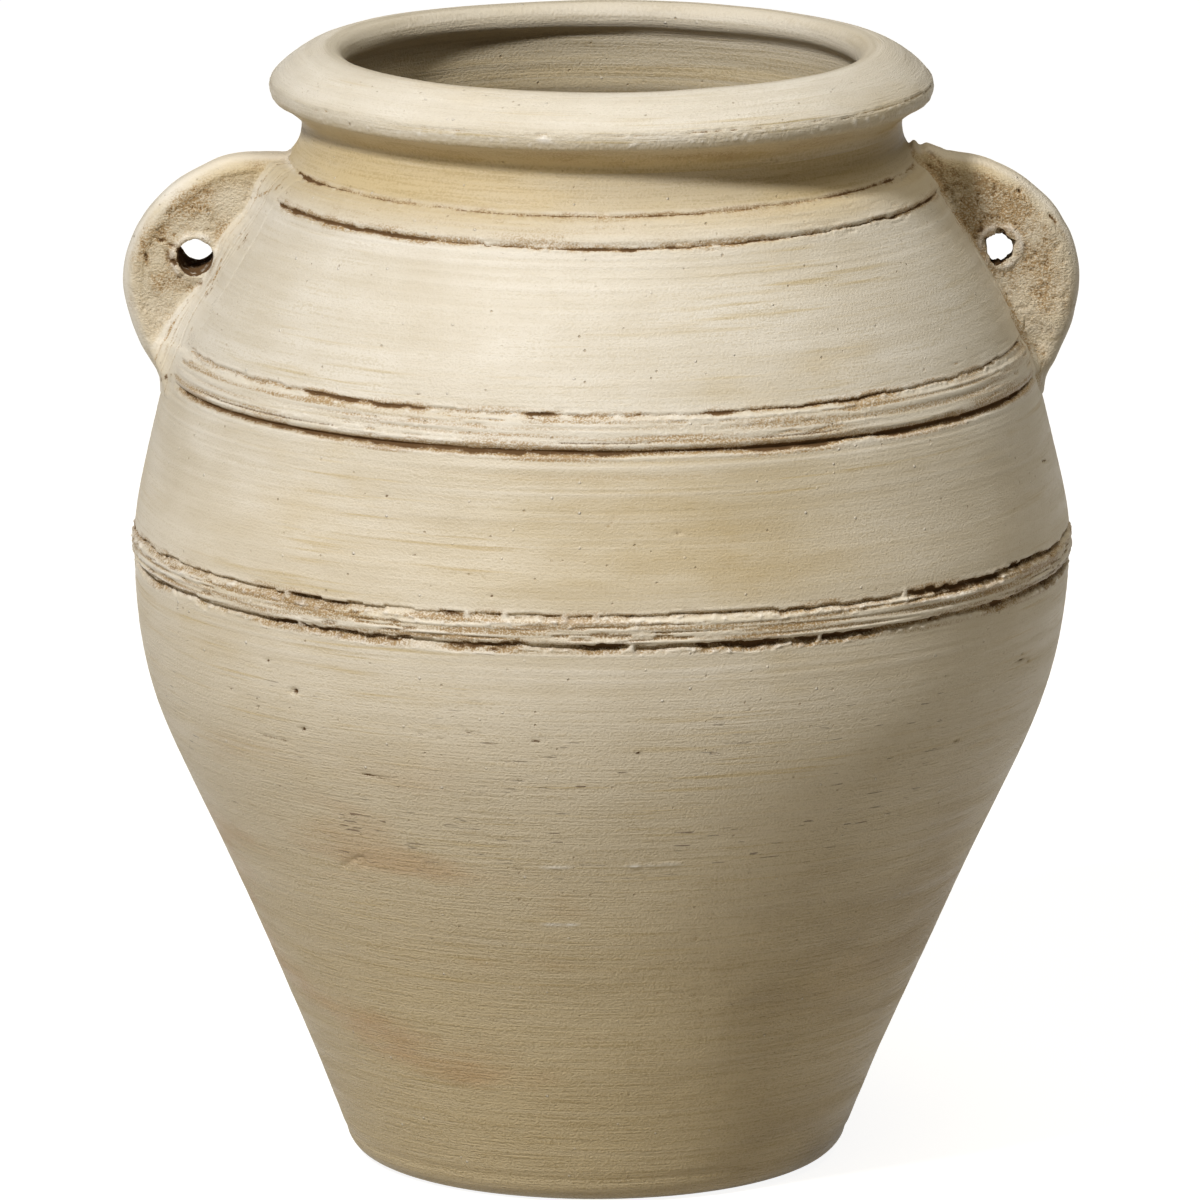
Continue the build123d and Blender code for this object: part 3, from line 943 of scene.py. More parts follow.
def close_middle(mesh, count, columns):
    """Draw the first and the last row together to points, so that the ring becomes a disc without a hole."""
    clay = bmesh.new()
    clay.from_mesh(mesh)
    clay.verts.ensure_lookup_table()
    rows = [clay.verts[row * columns : (row + 1) * columns] for row in (0, count - 1)]
    for row in rows:
        centre = sum((corner.co for corner in row), Vector()) / columns
        bmesh.ops.pointmerge(clay, verts=row, merge_co=centre)
    bmesh.ops.delete(clay, geom=[edge for edge in clay.edges if edge.is_wire], context="EDGES")
    clay.to_mesh(mesh)
    clay.free()


base_turn = even_turns(BASE_COLUMNS, 0.2)
heel_angle = np.linspace(-math.pi / 2, -0.1, 14)
heel_top = wall_radius(foot_top)
heel = [(HEEL_FROM + HEEL_WIDE * math.cos(a), HEEL_TALL * (1 + math.sin(a))) for a in heel_angle]
base_path = [(radius, 0.0) for radius in np.linspace(BASE_PIN, HEEL_FROM - 1, 26)] + heel
to_join = np.linspace(heel[-1][1], foot_top, 12)[1:-1]
base_path += [(np.interp(z, [heel[-1][1], foot_top], [heel[-1][0], heel_top]), z) for z in to_join]
base_path += [(heel_top, foot_top)]
skin_count = len(base_path)
base_path += [(radius, foot_top) for radius in np.linspace(heel_top - WALL_T, BASE_PIN, 16)]
base_path = np.array(base_path)
base_place = ring_places(base_path[:, :1], base_path[:, 1:], base_turn)
wire = 0.25 * clay_noise(base_place * np.array([1, 0.08, 1]), 3, 3, 401) * (base_path[:, 1:] < 0.1)
base_marks = throwing_marks(base_place)
base_marks[0] = base_marks[0] * ease(base_path[:, 1:], 1, 8)
base_marks[0, skin_count:] = 0
base_rows = ring_places(base_path[:, :1] + base_marks[0], base_path[:, 1:] + np.clip(wire, 0, 1), base_turn)
made["base_disc"] = ring_object("base_disc_clay", base_rows, base_marks, [skin_count - 1], skin_count)
close_middle(made["base_disc"].data, len(base_path), BASE_COLUMNS)
print("base has", len(made["base_disc"].data.polygons), "faces")

# %% [markdown]
# ## The lugs
#
# Each lug is a slab of clay, cut to an ear, pressed on to the shoulder and pierced with a stick. The root
# was smeared over with wet clay. That is one swelling form with no clear edges, so it is made as a distance
# field: the slab, the smear and the hole are joined as distances to a surface, and the surface is meshed at
# the end.

# %% Feel the outline of a lug
LUG_MIDDLE = (178.0, 400.0)  # out from the axis, and up
LUG_GRAIN = 0.75  # mm between the points of the distance field


def lug_outline(node, side):
    """The ear's outline, felt from outside, and closed inside the wall."""
    edge = []
    for angle in np.radians(np.arange(-78, 121, 3)):
        aim = Vector((side * math.cos(angle), 0, math.sin(angle)))
        centre = Vector((side * LUG_MIDDLE[0], 0, LUG_MIDDLE[1])) * MM
        hit, place, _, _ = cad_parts[node].ray_cast(centre + aim * 0.2, -aim)
        if hit:
            edge.append((side * place.x / MM, place.z / MM))
    lowest = min(range(len(edge)), key=lambda i: edge[i][1])
    return np.array([(150, 344), *edge[lowest:], (130, edge[-1][1] - 1), (100, edge[-1][1] - 1)])


def distance_to_outline(x, z, corners):
    """Distance in the slab's plane, negative inside the outline."""
    near, inside = np.full(x.shape, 1e9), np.zeros(x.shape, bool)
    for a, b in zip(corners, np.roll(corners, -1, axis=0)):
        run = b - a
        t = np.clip(((x - a[0]) * run[0] + (z - a[1]) * run[1]) / (run @ run), 0, 1)
        near = np.minimum(near, np.hypot(x - a[0] - t * run[0], z - a[1] - t * run[1]))
        if a[1] != b[1]:
            crosses = ((a[1] > z) != (b[1] > z)) & (x < a[0] + (z - a[1]) / (b[1] - a[1]) * run[0])
            inside ^= crosses
    return np.where(inside, -near, near)


for node, side in (("left_lug", -1), ("right_lug", 1)):
    print(node, "reaches", round(lug_outline(node, side)[:, 0].max(), 1), "mm from the axis")

# %% [markdown]
# ## Slab, smear and hole
#
# The slab is the outline given a thickness and a round edge. The smear is a hollow fillet that reaches
# further over the wall than over the slab, most of all in front on the left lug. The hole is a tilted,
# ragged bore. Dents and torn crumbs are pushed into the slab where the photograph shows them.

# %% Shape the lugs
LUG_HALF = 11  # half of the slab's thickness
LUG_ROUND = 8.5
LUG_DISH = {"left_lug": 1.7, "right_lug": 0.5}  # the faces are pressed in a little inside the edge
LUG_FACE = 9.5  # how far in front of the axis the front faces lie
SMEAR = {"left_lug": (36, 15), "right_lug": (7, 6)}  # how far the root is smeared over the wall and the slab
LUG_ROOM = {"left_lug": (5, 42, 8), "right_lug": (5, 18, 8)}  # space round the slab for the smear
BACK_SMEAR = (10, 8)  # the same behind, where nobody looked
HOLES = {  # place, radius, tilt upwards and outwards, and how ragged it is
    "left_lug": (179.5, 408.5, 8.0, 0.18, -0.03, 0.07),
    "right_lug": (176.0, 410.0, 7.2, -0.16, -0.02, 0.32),
}
DENTS = {  # pixel, width and depth of dents in the front face
    "left_lug": [((152, 300), 9, 1.0)],
    "right_lug": [((1036, 344), 8, 2.4), ((1024, 266), 9, 1.4)],
}
CRESTS = {  # the same for clay torn up on the edge
    "left_lug": [],
    "right_lug": [((909, 146), 10, 2.4), ((926, 143), 8, 2.6)],
}


def spot_on_lug(x, y):
    """Where a pixel falls on the front faces of the lugs: out from the axis, and up."""
    start, ray = pixel_ray(x, y)
    spot = start + (-LUG_FACE - start[1]) / ray[1] * ray
    return abs(spot[0]), spot[2]


def soft_join(a, b, reach):
    """Union of two distances with a fillet."""
    h = np.clip(0.5 + 0.5 * (b - a) / reach, 0, 1)
    return b + (a - b) * h - reach * h * (1 - h)


def skin_on_wall(y, z, side):
    """How far the drums and strips stand out where a lug is smeared on to them."""
    radius = wall_radius(z)
    place = np.stack([side * np.sqrt(np.maximum(radius**2 - y**2, 1)), y, z], axis=-1)
    proud = throwing_marks(place)[0]
    for band in ("shoulder_band", "neck_band"):
        low, high = (SCORED[line]["at"] for line in STRIP_LINES[band][:2])
        proud = proud + 0.8 * BAND_PROUD * window(z, low - 1, low + 2, high - 2, high + 1)
    return proud


def lug_field(place, node, side, seed):
    """Distances for the lug's surface, and the parts that its colour needs."""
    x, y, z = side * place[..., 0], place[..., 1], place[..., 2]
    sheet = place[:, :1] * np.array([1, 0, 1])  # the slab's middle plane
    sheet_x, sheet_z = x[:, :1], z[:, :1]
    lump = clay_noise(sheet, 22, 22, seed) + 0.4 * clay_noise(sheet, 8, 8, seed + 1)
    flat = distance_to_outline(sheet_x, sheet_z, lug_outline(node, side)) + 0.7 * lump
    for pixel, width, rise in CRESTS[node]:
        out, up = spot_on_lug(*pixel)
        torn = rise * (1 + 0.5 * clay_noise(sheet, 3, 3, seed + 5))
        flat = flat - torn * bump_at(np.hypot(sheet_x - out, sheet_z - up), 0, width)
    hole_x, hole_z, hole_r, tilt_up, tilt_out, ragged = HOLES[node]
    from_hole = np.hypot(x - hole_x - tilt_out * y, z - hole_z - tilt_up * y)
    front, back = (clay_noise(sheet + np.array([0, away, 0]), 14, 14, seed + 2) for away in (-30, 30))
    for pixel, width, depth in DENTS[node]:
        out, up = spot_on_lug(*pixel)
        front = front - depth / 0.6 * bump_at(np.hypot(sheet_x - out, sheet_z - up), 0, width)
    dish = LUG_DISH[node] * ease(-flat, 3, 11) * (1 - ease(-from_hole, -hole_r - 5, -hole_r))
    half = LUG_HALF - dish + 0.6 * np.where(y < 0, front, back)
    qx, qy = flat + LUG_ROUND, np.abs(y) - half + LUG_ROUND
    slab = np.hypot(np.maximum(qx, 0), np.maximum(qy, 0)) + np.minimum(np.maximum(qx, qy), 0) - LUG_ROUND
    level = np.clip(z, foot_top, rim_foot)
    column = slice(0, 1) if place.shape[1] > 1 else slice(None)
    skin = skin_on_wall(y[column], level[column], side)
    wall = (np.hypot(x, y) - wall_radius(level) - skin) * outward(level)[0]
    beside = ease(-flat, -1, 3)  # the smear lies beside the slab, and hardly on its edge
    over_wall, over_slab = (np.where(y < 0, size, BACK_SMEAR[i]) for i, size in enumerate(SMEAR[node]))
    clear = 0.78 * bump_at(z, hole_z - 7, 22) + 0.62 * ease(z, hole_z + 4, hole_z + 22)
    over_slab = over_slab * (1 - clear)  # it keeps clear of the hole, and thins towards the top
    tall = place[column][:, :1] * np.array([0, 0, 1])
    over_wall = over_wall * (0.9 + 0.2 * clay_noise(tall, 14, 14, seed + 7))  # its far edge is uneven
    uneven = 0.3 * clay_noise(place[column], 12, 12, seed + 6)
    sunk = wall + 0.25 - beside * (0.45 + uneven) + 0.25 * np.maximum(slab - 1 - over_wall * beside, 0)
    curve = np.hypot(np.clip(1 - slab / over_wall, 0, 2), np.clip(1 - sunk / over_slab, 0, 2))
    smear = (1 - curve) * over_slab * 0.8  # a hollow fillet, longer on the wall than on the slab
    clay = soft_join(slab, sunk, 3)
    clay = np.where(beside > 0.01, np.minimum(clay, smear + (1 - beside) * 9), clay)
    clay = np.maximum(clay, -(wall + LET_IN - 0.5))
    edge = clay_noise(place, 5, 5, seed + 3) + 0.6 * clay_noise(place, 2.2, 2.2, seed + 4)
    bore = np.minimum(hole_r * (1 + ragged * edge) - from_hole, LUG_HALF + 4 - np.abs(y))
    return np.maximum(clay, bore), flat, from_hole - hole_r, wall, slab


print("the left lug's hole is seen at", [round(v) for v in spot_on_lug(197, 254)], "mm out and up")

# %% [markdown]
# ## Meshing the lugs
#
# The field is sampled on a fine grid of points and handed to a volume tool, which stretches quads along the
# surface. Where the smear thins out over the wall, the grid leaves loose crumbs, so only the largest mesh
# is kept.

# %% Mesh a lug
def without_crumbs(points, quads):
    """Only the largest connected mesh; where the smear thins out, loose crumbs would be left behind."""
    piece = np.arange(len(points))
    settled = False
    while not settled:
        lowest = piece.copy()
        np.minimum.at(lowest, quads, piece[quads].min(axis=1, keepdims=True))
        lowest = lowest[lowest]
        settled = (lowest == piece).all()
        piece = lowest
    kept = piece == np.bincount(piece).argmax()
    place = np.cumsum(kept) - 1
    return points[kept], place[quads[kept[quads[:, 0]]]]


def lug_piece(node, side, seed):
    low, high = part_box(node)
    room = np.array(LUG_ROOM[node])
    start = np.array([low.x, low.y, low.z]) / MM - room
    count = (np.array([high.x, high.y, high.z]) / MM + room - start) / LUG_GRAIN
    axes = [start[i] + LUG_GRAIN * np.arange(int(count[i])) for i in range(3)]
    grid = np.stack(np.meshgrid(*axes, indexing="ij"), axis=-1)
    field = lug_field(grid, node, side, seed)[0] / LUG_GRAIN
    volume = openvdb.FloatGrid(4.0)
    volume.copyFromArray(np.clip(field, -4, 4).astype(np.float32))
    points, quads = volume.convertToQuads(0.0)
    points, quads = without_crumbs(points * LUG_GRAIN + start, quads)
    mesh = bpy.data.meshes.new(node + "_clay")
    mesh.from_pydata((points * MM).tolist(), [], quads.tolist())
    return mesh, points


print("lugs are meshed from points", LUG_GRAIN, "mm apart")

# %% [markdown]
# ## Grain and stain on the lugs
#
# The slab was pressed on a sandy board, so its faces are granular, and the brown wash stayed in them: in an
# arc inside the edge, round the hole, and in the cracks along the root. The smear keeps the drag lines of a
# thumb.

# %% List the gashes
GASHES = {  # pixels where each stroke on the front starts and ends, and its width; thin ones hold only ochre
    "left_lug": [
        ((142, 239), (147, 263), 1.6),
        ((164, 250), (176, 264), 2.0),
        ((157, 240), (167, 240), 1.4),
        ((171, 245), (182, 251), 1.6),
        ((174, 234), (190, 225), 1.6),
        ((187, 291), (201, 282), 1.8),
        ((203, 298), (214, 287), 1.3),
        ((238, 249), (250, 232), 1.4),
        ((164, 341), (175, 320), 1.0),
        ((158, 382), (174, 372), 1.4),
        ((222, 258), (216, 276), 0.9),
        ((216, 276), (206, 287), 0.9),
        ((272, 193), (291, 172), 0.8),
        ((254, 199), (272, 189), 0.8),
        ((277, 200), (279, 202), 1.2),
        ((268, 218), (281, 207), 0.8),
        ((186, 344), (193, 326), 0.8),
    ],
    "right_lug": [
        ((1019, 189), (1026, 201), 1.1),
        ((1038, 209), (1042, 213), 1.2),
        ((1050, 214), (1057, 223), 1.1),
        ((953, 210), (965, 239), 0.9),
        ((972, 258), (990, 279), 0.9),
        ((1015, 332), (1024, 347), 0.9),
        ((993, 227), (1006, 233), 1.4),
        ((928, 150), (944, 168), 0.9),
    ],
}
THIN_GASH = 1.0
print("gashes on the lugs:", {node: len(strokes) for node, strokes in GASHES.items()})

# %% [markdown]
# ## Finishing the lugs
#
# Every point of the mesh knows how far it lies from the edge, the hole, the wall and the slab, because the
# field gives these distances again. Each mark is a band or a noise in them: the sandy face, the collar of
# pushed-out clay round the hole, the cracks at the root and the long drag lines of the smear. The inside of
# the hole is painted dark, as shade.

# %% Finish the lugs
PHOTO_GRAIN = 2.24  # pixels of the photograph to a millimetre
LUG_DIRT = {"left_lug": 0.3, "right_lug": 0.6}
LUG_WORN = {"left_lug": 0.3, "right_lug": 0.6}  # how sandy a lug feels away from its faces


def finish_lug(node, side, seed):
    mesh, points = lug_piece(node, side, seed)
    normal = np.empty(len(mesh.vertices) * 3)
    mesh.vertices.foreach_get("normal", normal)
    normal = normal.reshape(-1, 3)
    _, flat, from_hole, wall, slab = [
        part.reshape(-1) for part in lug_field(points[:, None, None], node, side, seed)
    ]
    grain = noise_at(points, seed)
    face = ease(np.abs(normal[:, 1]), 0.3, 0.7)
    smear = ease(slab, 0.4, 2.5)
    fine, coarse = grain(1.5, 1.5, 10), grain(3.4, 3.4, 11)
    pits, holes = ease(fine + 0.5 * coarse, 0.1, 0.6), ease(fine + 0.7 * coarse, 0.55, 0.85)
    astray = slab * 8 + 14 * grain(26, 26, 19)
    along = np.stack([astray, slab * 0, points[:, 2]], axis=-1)  # drag lines run beside the slab
    drags = clay_noise(along, 9, 34, seed + 12)
    sandy = face * ease(-flat, 1.5, 7) * (1 - smear)
    collar = bump_at(from_hole, 2.0, 1.5) * np.clip(0.7 + grain(4, 4, 13), 0, 1.5) * face
    gash, deep = np.zeros(len(points)), np.zeros(len(points))
    seen_x, seen_y = photo_pixel(points)
    for (start_x, start_y), (end_x, end_y), width in GASHES[node]:
        away = distance_to_line(seen_x - start_x, seen_y - start_y, end_x - start_x, end_y - start_y)
        stroke = bump_at(away / PHOTO_GRAIN, 0, 0.7 * width)
        gash, deep = np.maximum(gash, stroke), np.maximum(deep, stroke * (width > THIN_GASH))
    crumbled = (normal[:, 1] < -0.05) * np.clip(0.6 + 0.8 * coarse + 0.5 * fine, 0, 1.2)
    gash, deep = gash * crumbled, deep * crumbled
    feather = 1 - ease(slab, 14, 32)
    relief = (0.2 * coarse - 0.3 * pits - 0.4 * holes) * sandy + 0.35 * drags * smear * feather
    relief = relief + 0.8 * collar - 1.0 * gash * (1 - ease(slab, 2, 7))
    patch = grain(15, 15, 14) + 0.5 * grain(6, 6, 15)
    arc = bump_at(flat, -9, 5.5) * ease(points[:, 2], 388, 424)
    round_hole = bump_at(from_hole, 4.5, 2.5)
    dirty = sandy * np.clip(LUG_DIRT[node] + 0.4 * patch + 0.35 * arc + 0.3 * round_hole, 0.1, 1)
    seam = bump_at(slab, 1.2, 2.2) * np.clip(0.25 + grain(7, 11, 17), 0, 1) * face
    crack = bump_at(wall, 0.3, 0.7) * ease(grain(10, 13, 16), 0.15, 0.4)
    crease = bump_at(wall, 1.0, 1.2) * (slab < 6) * np.clip(0.6 + grain(6, 9, 18), 0, 1)
    reach = 0.7 + 0.8 * HOLES[node][2] * HOLES[node][5]  # how far the ragged bore strays
    # inside the hole the clay is painted dark, as shade
    inside = ease(-from_hole, -reach - 0.6, -reach + 0.2) * (np.abs(points[:, 1]) < LUG_HALF + 0.8)
    inside = inside * (1 - ease(np.abs(normal[:, 1]), 0.35, 0.6))
    bore_shade = inside * np.clip(0.85 + 0.35 * coarse + 0.35 * fine, 0, 1)
    umber = np.clip(0.35 * dirty * holes + 0.75 * deep + 0.4 * seam * pits + 0.3 * crack + bore_shade, 0, 1)
    rubbed = np.clip(0.05 - drags, 0, 1) * smear * feather * np.clip(0.7 + 0.6 * fine, 0, 1)
    ochre = dirty * (0.42 + 0.3 * pits) + 0.8 * rubbed + 0.6 * seam + 0.8 * gash + 0.55 * crease
    pale = np.clip(0.35 * ease(flat, -3, -1) + 0.4 * collar, 0, 1) * (1 - inside)
    mesh.vertices.foreach_set("co", ((points + normal * relief[:, None]) * MM).ravel())
    worn = LUG_WORN[node] * (1 - ease(slab, 2, 8))
    return clay_object(node + "_clay", mesh, (umber, ochre, pale), worn + (1 - worn) * sandy)


made["left_lug"] = finish_lug("left_lug", -1, 501)
made["right_lug"] = finish_lug("right_lug", 1, 541)
print("lugs have", [len(made[node].data.polygons) for node in ("left_lug", "right_lug")], "faces")

# %% [markdown]
# ## The slip
#
# The jar is brushed with cream slip, and a thin khaki wash gathers towards the foot. Such a finish could be
# a painted picture, but nodes that read the place on the jar have no seams and stay sharp close up. A few
# short helpers come first, so that each layer of the slip reads like a line of a recipe.

# %% Set out the colours and tools
CREAM = (0.76, 0.675, 0.525, 1)
CREAM_DEEP = (0.63, 0.535, 0.375, 1)
KHAKI = (0.58, 0.45, 0.238, 1)
UMBER = (0.135, 0.074, 0.031, 1)
OCHRE = (0.36, 0.232, 0.1, 1)
RUST = (0.55, 0.35, 0.17, 1)
BROWN_AND_SHADE = (0.35, 0.255, 0.125, 1)
PALE = (0.84, 0.78, 0.67, 1)
INSIDE_DARKER = (0.45, 0.375, 0.245, 1)  # the inside
COOLER = (0.92, 0.94, 0.98, 1)  # multiplied over the shoulder
WALL_WASH = (0.78, 0.715, 0.56, 1)  # multiplied over the upper wall
LINE_WASH = (0.79, 0.745, 0.64, 1)  # multiplied along the brush lines


def add_node(tree, kind, sockets, **settings):
    """One shader node: settings are its options, sockets its values or what feeds them."""
    node = tree.nodes.new("ShaderNode" + kind)
    for option, value in settings.items():
        setattr(node, option, value)
    for socket, value in sockets.items():
        if isinstance(value, bpy.types.NodeSocket):
            tree.links.new(value, node.inputs[socket])
        else:
            node.inputs[socket].default_value = value
    return node


def stretched_noise(tree, where, stretch, detail=3.0, shift=0.0):
    """Noise whose cells are so many to the metre along X, Y and Z; a shift gives another piece of it."""
    sockets = {"Vector": where, "Scale": stretch, "Location": (shift, 2 * shift, 3 * shift)}
    mapped = add_node(tree, "Mapping", sockets).outputs["Vector"]
    sockets = {"Vector": mapped, "Scale": 1.0, "Detail": detail, "Roughness": 0.55}
    return add_node(tree, "TexNoise", sockets).outputs["Fac"]


def between(tree, value, low, high, to_low=0.0, to_high=1.0):
    sockets = {"Value": value, "From Min": low, "From Max": high, "To Min": to_low, "To Max": to_high}
    return add_node(tree, "MapRange", sockets, interpolation_type="SMOOTHSTEP").outputs["Result"]


def times(tree, a, b, operation="MULTIPLY"):
    return add_node(tree, "Math", {0: a, 1: b}, operation=operation).outputs["Value"]


def lay_over(tree, share, under, over, blend="MIX"):
    sockets = {"Factor": share, 6: under, 7: over}
    return add_node(tree, "Mix", sockets, data_type="RGBA", blend_type=blend).outputs[2]


def slip_bowl(name, rolled):
    """A new material, with the tools, places and noises that all layers of the slip share."""
    material = bpy.data.materials.new(name)
    material.use_nodes = True
    tree = material.node_tree
    bowl = SimpleNamespace(material=material, tree=tree, shader=tree.nodes["Principled BSDF"])
    bowl.span, bowl.calc, bowl.lay = partial(between, tree), partial(times, tree), partial(lay_over, tree)
    where = add_node(tree, "TexCoord", {}).outputs["Object"]
    place = add_node(tree, "SeparateXYZ", {"Vector": where}).outputs
    bowl.across, bowl.height = place["X"], place["Z"]
    level_place = add_node(tree, "CombineXYZ", {"X": place["X"], "Y": place["Y"]}).outputs["Vector"]
    bowl.radius = add_node(tree, "VectorMath", {0: level_place}, operation="LENGTH").outputs["Value"]
    if rolled:
        roll = bowl.calc(bowl.radius, bowl.height, "SUBTRACT")
        where = add_node(tree, "CombineXYZ", {"X": place["X"], "Y": place["Y"], "Z": roll}).outputs["Vector"]
    bowl.where, bowl.noise = where, partial(stretched_noise, tree, where)
    bowl.patch, bowl.streak = bowl.noise((15, 15, 22), 6.0), bowl.noise((9, 9, 160), 5.0)
    bowl.brush, bowl.sand = bowl.noise((30, 30, 1100), 3.0), bowl.noise((850, 850, 1100), 4.0)
    bowl.fine = bowl.calc(bowl.calc(bowl.brush, 0.4), bowl.calc(bowl.sand, 0.4), "ADD")
    bowl.marks = add_node(tree, "Attribute", {}, attribute_name="clay_marks").outputs
    return bowl


print("cream", CREAM[:3], "and umber", UMBER[:3], "set out")

# %% [markdown]
# ## Cream and washes
#
# The cream mixes level streaks, patches, brush lines and sand. Over it lie the thin washes: khaki towards
# the foot, on the neck and on the lugs' faces, and a browner one across the front of the upper wall. Low
# down, rust gathers on the left and brown on the right, the brown partly painted shade on the shaded
# side, and the inside is darker.

# %% Lay the cream and the washes
def cream_layer(bowl, contrast):
    span, calc, lay = bowl.span, bowl.calc, bowl.lay
    tone = calc(calc(bowl.patch, 0.4), calc(bowl.streak, 0.25), "ADD")
    tone = calc(tone, bowl.fine, "ADD")
    cream = lay(span(tone, 0.59, 0.83), CREAM_DEEP, CREAM)
    wisps = span(bowl.noise((13, 13, 420), 5.0, 9.1), 0.53, 0.70, 0.0, contrast)
    wisps = calc(wisps, span(bowl.noise((7, 7, 16), 3.0, 4.4), 0.42, 0.6))
    cream = lay(wisps, cream, KHAKI)
    return lay(span(bowl.height, 0.29, 0.38), cream, COOLER, "MULTIPLY")


def wash_layer(bowl, cream, face_wash):
    span, calc, lay, height = bowl.span, bowl.calc, bowl.lay, bowl.height
    level = calc(height, calc(bowl.patch, 0.12), "SUBTRACT")
    level = calc(level, calc(bowl.streak, 0.08), "SUBTRACT")
    washed = span(level, 0.19, -0.06, 0.0, 0.85)
    cloud = bowl.noise((11, 11, 50), 5.0, 2.6)
    on_neck = calc(span(height, 0.432, 0.455), span(height, 0.486, 0.470))
    washed = calc(washed, calc(on_neck, span(cloud, 0.34, 0.64, 0.65, 1.0)), "ADD")
    if face_wash:
        washed = calc(washed, span(bowl.marks["Alpha"], 0.2, 1.0, 0.0, face_wash), "ADD")
    smudge = span(bowl.noise((8, 8, 20), 6.0, 5.2), 0.50, 0.72, 0.0, 0.5)
    cream = lay(calc(washed, smudge, "MAXIMUM"), cream, KHAKI)
    on_upper = calc(span(height, 0.28, 0.30), span(height, 0.36, 0.34))
    on_upper = calc(on_upper, calc(span(bowl.across, -0.14, -0.01), span(bowl.across, 0.2, 0.03)))
    on_upper = calc(on_upper, span(cloud, 0.36, 0.62, 0.45, 0.85))
    return lay(on_upper, cream, WALL_WASH, "MULTIPLY")


def stain_layer(bowl, cream, contrast):
    span, calc, lay, height = bowl.span, bowl.calc, bowl.lay, bowl.height
    low_down = span(height, 0.24, 0.12)
    rusty = calc(span(bowl.noise((9, 9, 30), 5.0, 7.3), 0.50, 0.70), low_down)
    cream = lay(calc(rusty, span(bowl.across, 0.06, -0.10, 0.15, 0.8)), cream, RUST)
    # brown mottling low down, heavier on the right: partly real mottling, partly painted shade on the side
    # away from the key lamp
    brown = calc(span(bowl.noise((10, 10, 22), 5.0, 3.1), 0.38, 0.72), low_down)
    cream = lay(calc(brown, span(bowl.across, -0.05, 0.12, 0.1, 0.6)), cream, BROWN_AND_SHADE)
    # the inner neck and throat are made darker
    inside = calc(span(bowl.radius, 0.124, 0.1205), span(height, 0.40, 0.43))
    thrown = span(bowl.noise((5, 5, 330), 2.0, 8.8), 0.40, 0.60, 0.55, 1.0)
    cream = lay(calc(inside, thrown), cream, INSIDE_DARKER)
    lines = calc(span(bowl.fine, 0.36, 0.50), span(height, 0.30, 0.12, contrast, 1.0))
    return lay(lines, cream, LINE_WASH, "MULTIPLY")


print("washes: khaki, upper wall, rust, brown, dust and brush lines")

# %% [markdown]
# ## Marks, specks and sheen
#
# The umber, ochre and pale marks that the meshes carry are laid over the washes, and grit breaks up their
# edges. The lower wall gets short umber dashes, and specks and pale beads come from scattered cells.
# Stained clay is duller, and the fingers feel the brush strokes, the sand and the specks as a fine bump.

# %% Lay the marks and the sheen
def mark_layer(bowl, cream):
    span, calc, lay = bowl.span, bowl.calc, bowl.lay
    parts = add_node(bowl.tree, "SeparateColor", {"Color": bowl.marks["Color"]}).outputs
    grit = bowl.noise((1100, 1100, 1400), 4.0, 1.7)
    ochre = calc(parts["Green"], span(grit, 0.36, 0.64, 0.35, 1.55))
    # the umber marks are stains, and also the painted shadow under the cuts' lips and the painted shade
    # inside the lugs' holes
    bowl.stained = parts["Red"]
    bowl.umber = calc(bowl.stained, calc(calc(grit, 0.5, "SUBTRACT"), 0.9), "ADD")
    colour = lay(span(ochre, 0.05, 0.95), cream, OCHRE)
    colour = lay(parts["Blue"], colour, PALE)
    return lay(span(bowl.umber, 0.24, 0.74), colour, UMBER)


def speck_layer(bowl, colour, speckle):
    span, calc, lay, height = bowl.span, bowl.calc, bowl.lay, bowl.height
    dash = span(bowl.noise((70, 70, 900), 1.0), 0.70, 0.74)
    dash = calc(dash, span(bowl.patch, 0.46, 0.6))
    bowl.dash = calc(dash, calc(span(height, 0.145, 0.18), span(height, 0.262, 0.225)))
    colour = lay(calc(bowl.dash, 0.75), colour, UMBER)
    cells = add_node(bowl.tree, "TexVoronoi", {"Vector": bowl.where, "Scale": 420.0}).outputs
    picked = add_node(bowl.tree, "SeparateColor", {"Color": cells["Color"]}).outputs["Red"]
    bowl.speck = calc(span(cells["Distance"], 0.30, 0.12), span(picked, 1 - speckle, 1.0))
    colour = lay(calc(bowl.speck, 0.5), colour, OCHRE)
    bowl.bead = calc(span(cells["Distance"], 0.34, 0.14), span(picked, 0.015, 0.0))
    return lay(calc(bowl.bead, 0.5), colour, PALE)


def slip_surface(bowl, grain, brushed):
    span, calc, height, sockets = bowl.span, bowl.calc, bowl.height, bowl.shader.inputs
    rough = calc(span(bowl.streak, 0.3, 0.7, 0.42, 0.56), calc(bowl.stained, 0.3), "ADD")
    bowl.tree.links.new(rough, sockets["Roughness"])
    sockets["Specular IOR Level"].default_value = 0.3
    bowl.tree.links.new(span(bowl.umber, 0.1, 0.6, 0.32, 0.03), sockets["Specular IOR Level"])
    strokes = calc(calc(bowl.brush, brushed), span(height, 0.29, 0.20, 0.5, 1.0))
    relief = calc(strokes, calc(calc(bowl.sand, grain), bowl.marks["Alpha"]), "ADD")
    relief = calc(relief, span(height, 0.29, 0.12, 0.45, 1.2))
    relief = calc(relief, calc(bowl.bead, 0.6), "ADD")
    sunk = calc(calc(bowl.speck, 0.5), calc(bowl.dash, 0.9), "ADD")
    relief = calc(relief, sunk, "SUBTRACT")
    bump = add_node(bowl.tree, "Bump", {"Height": relief, "Strength": 0.9, "Distance": 0.0011})
    bowl.tree.links.new(bump.outputs["Normal"], sockets["Normal"])


print("marks come in umber", UMBER[:3], "ochre", OCHRE[:3], "and pale slip", PALE[:3])

# %% [markdown]
# ## Mixing the slips
#
# One recipe serves all pieces. The strips and the lugs get a little more grain, the lugs a wash on their
# faces, and the rim was brushed once more with a stiff brush, whose lines follow the roll.

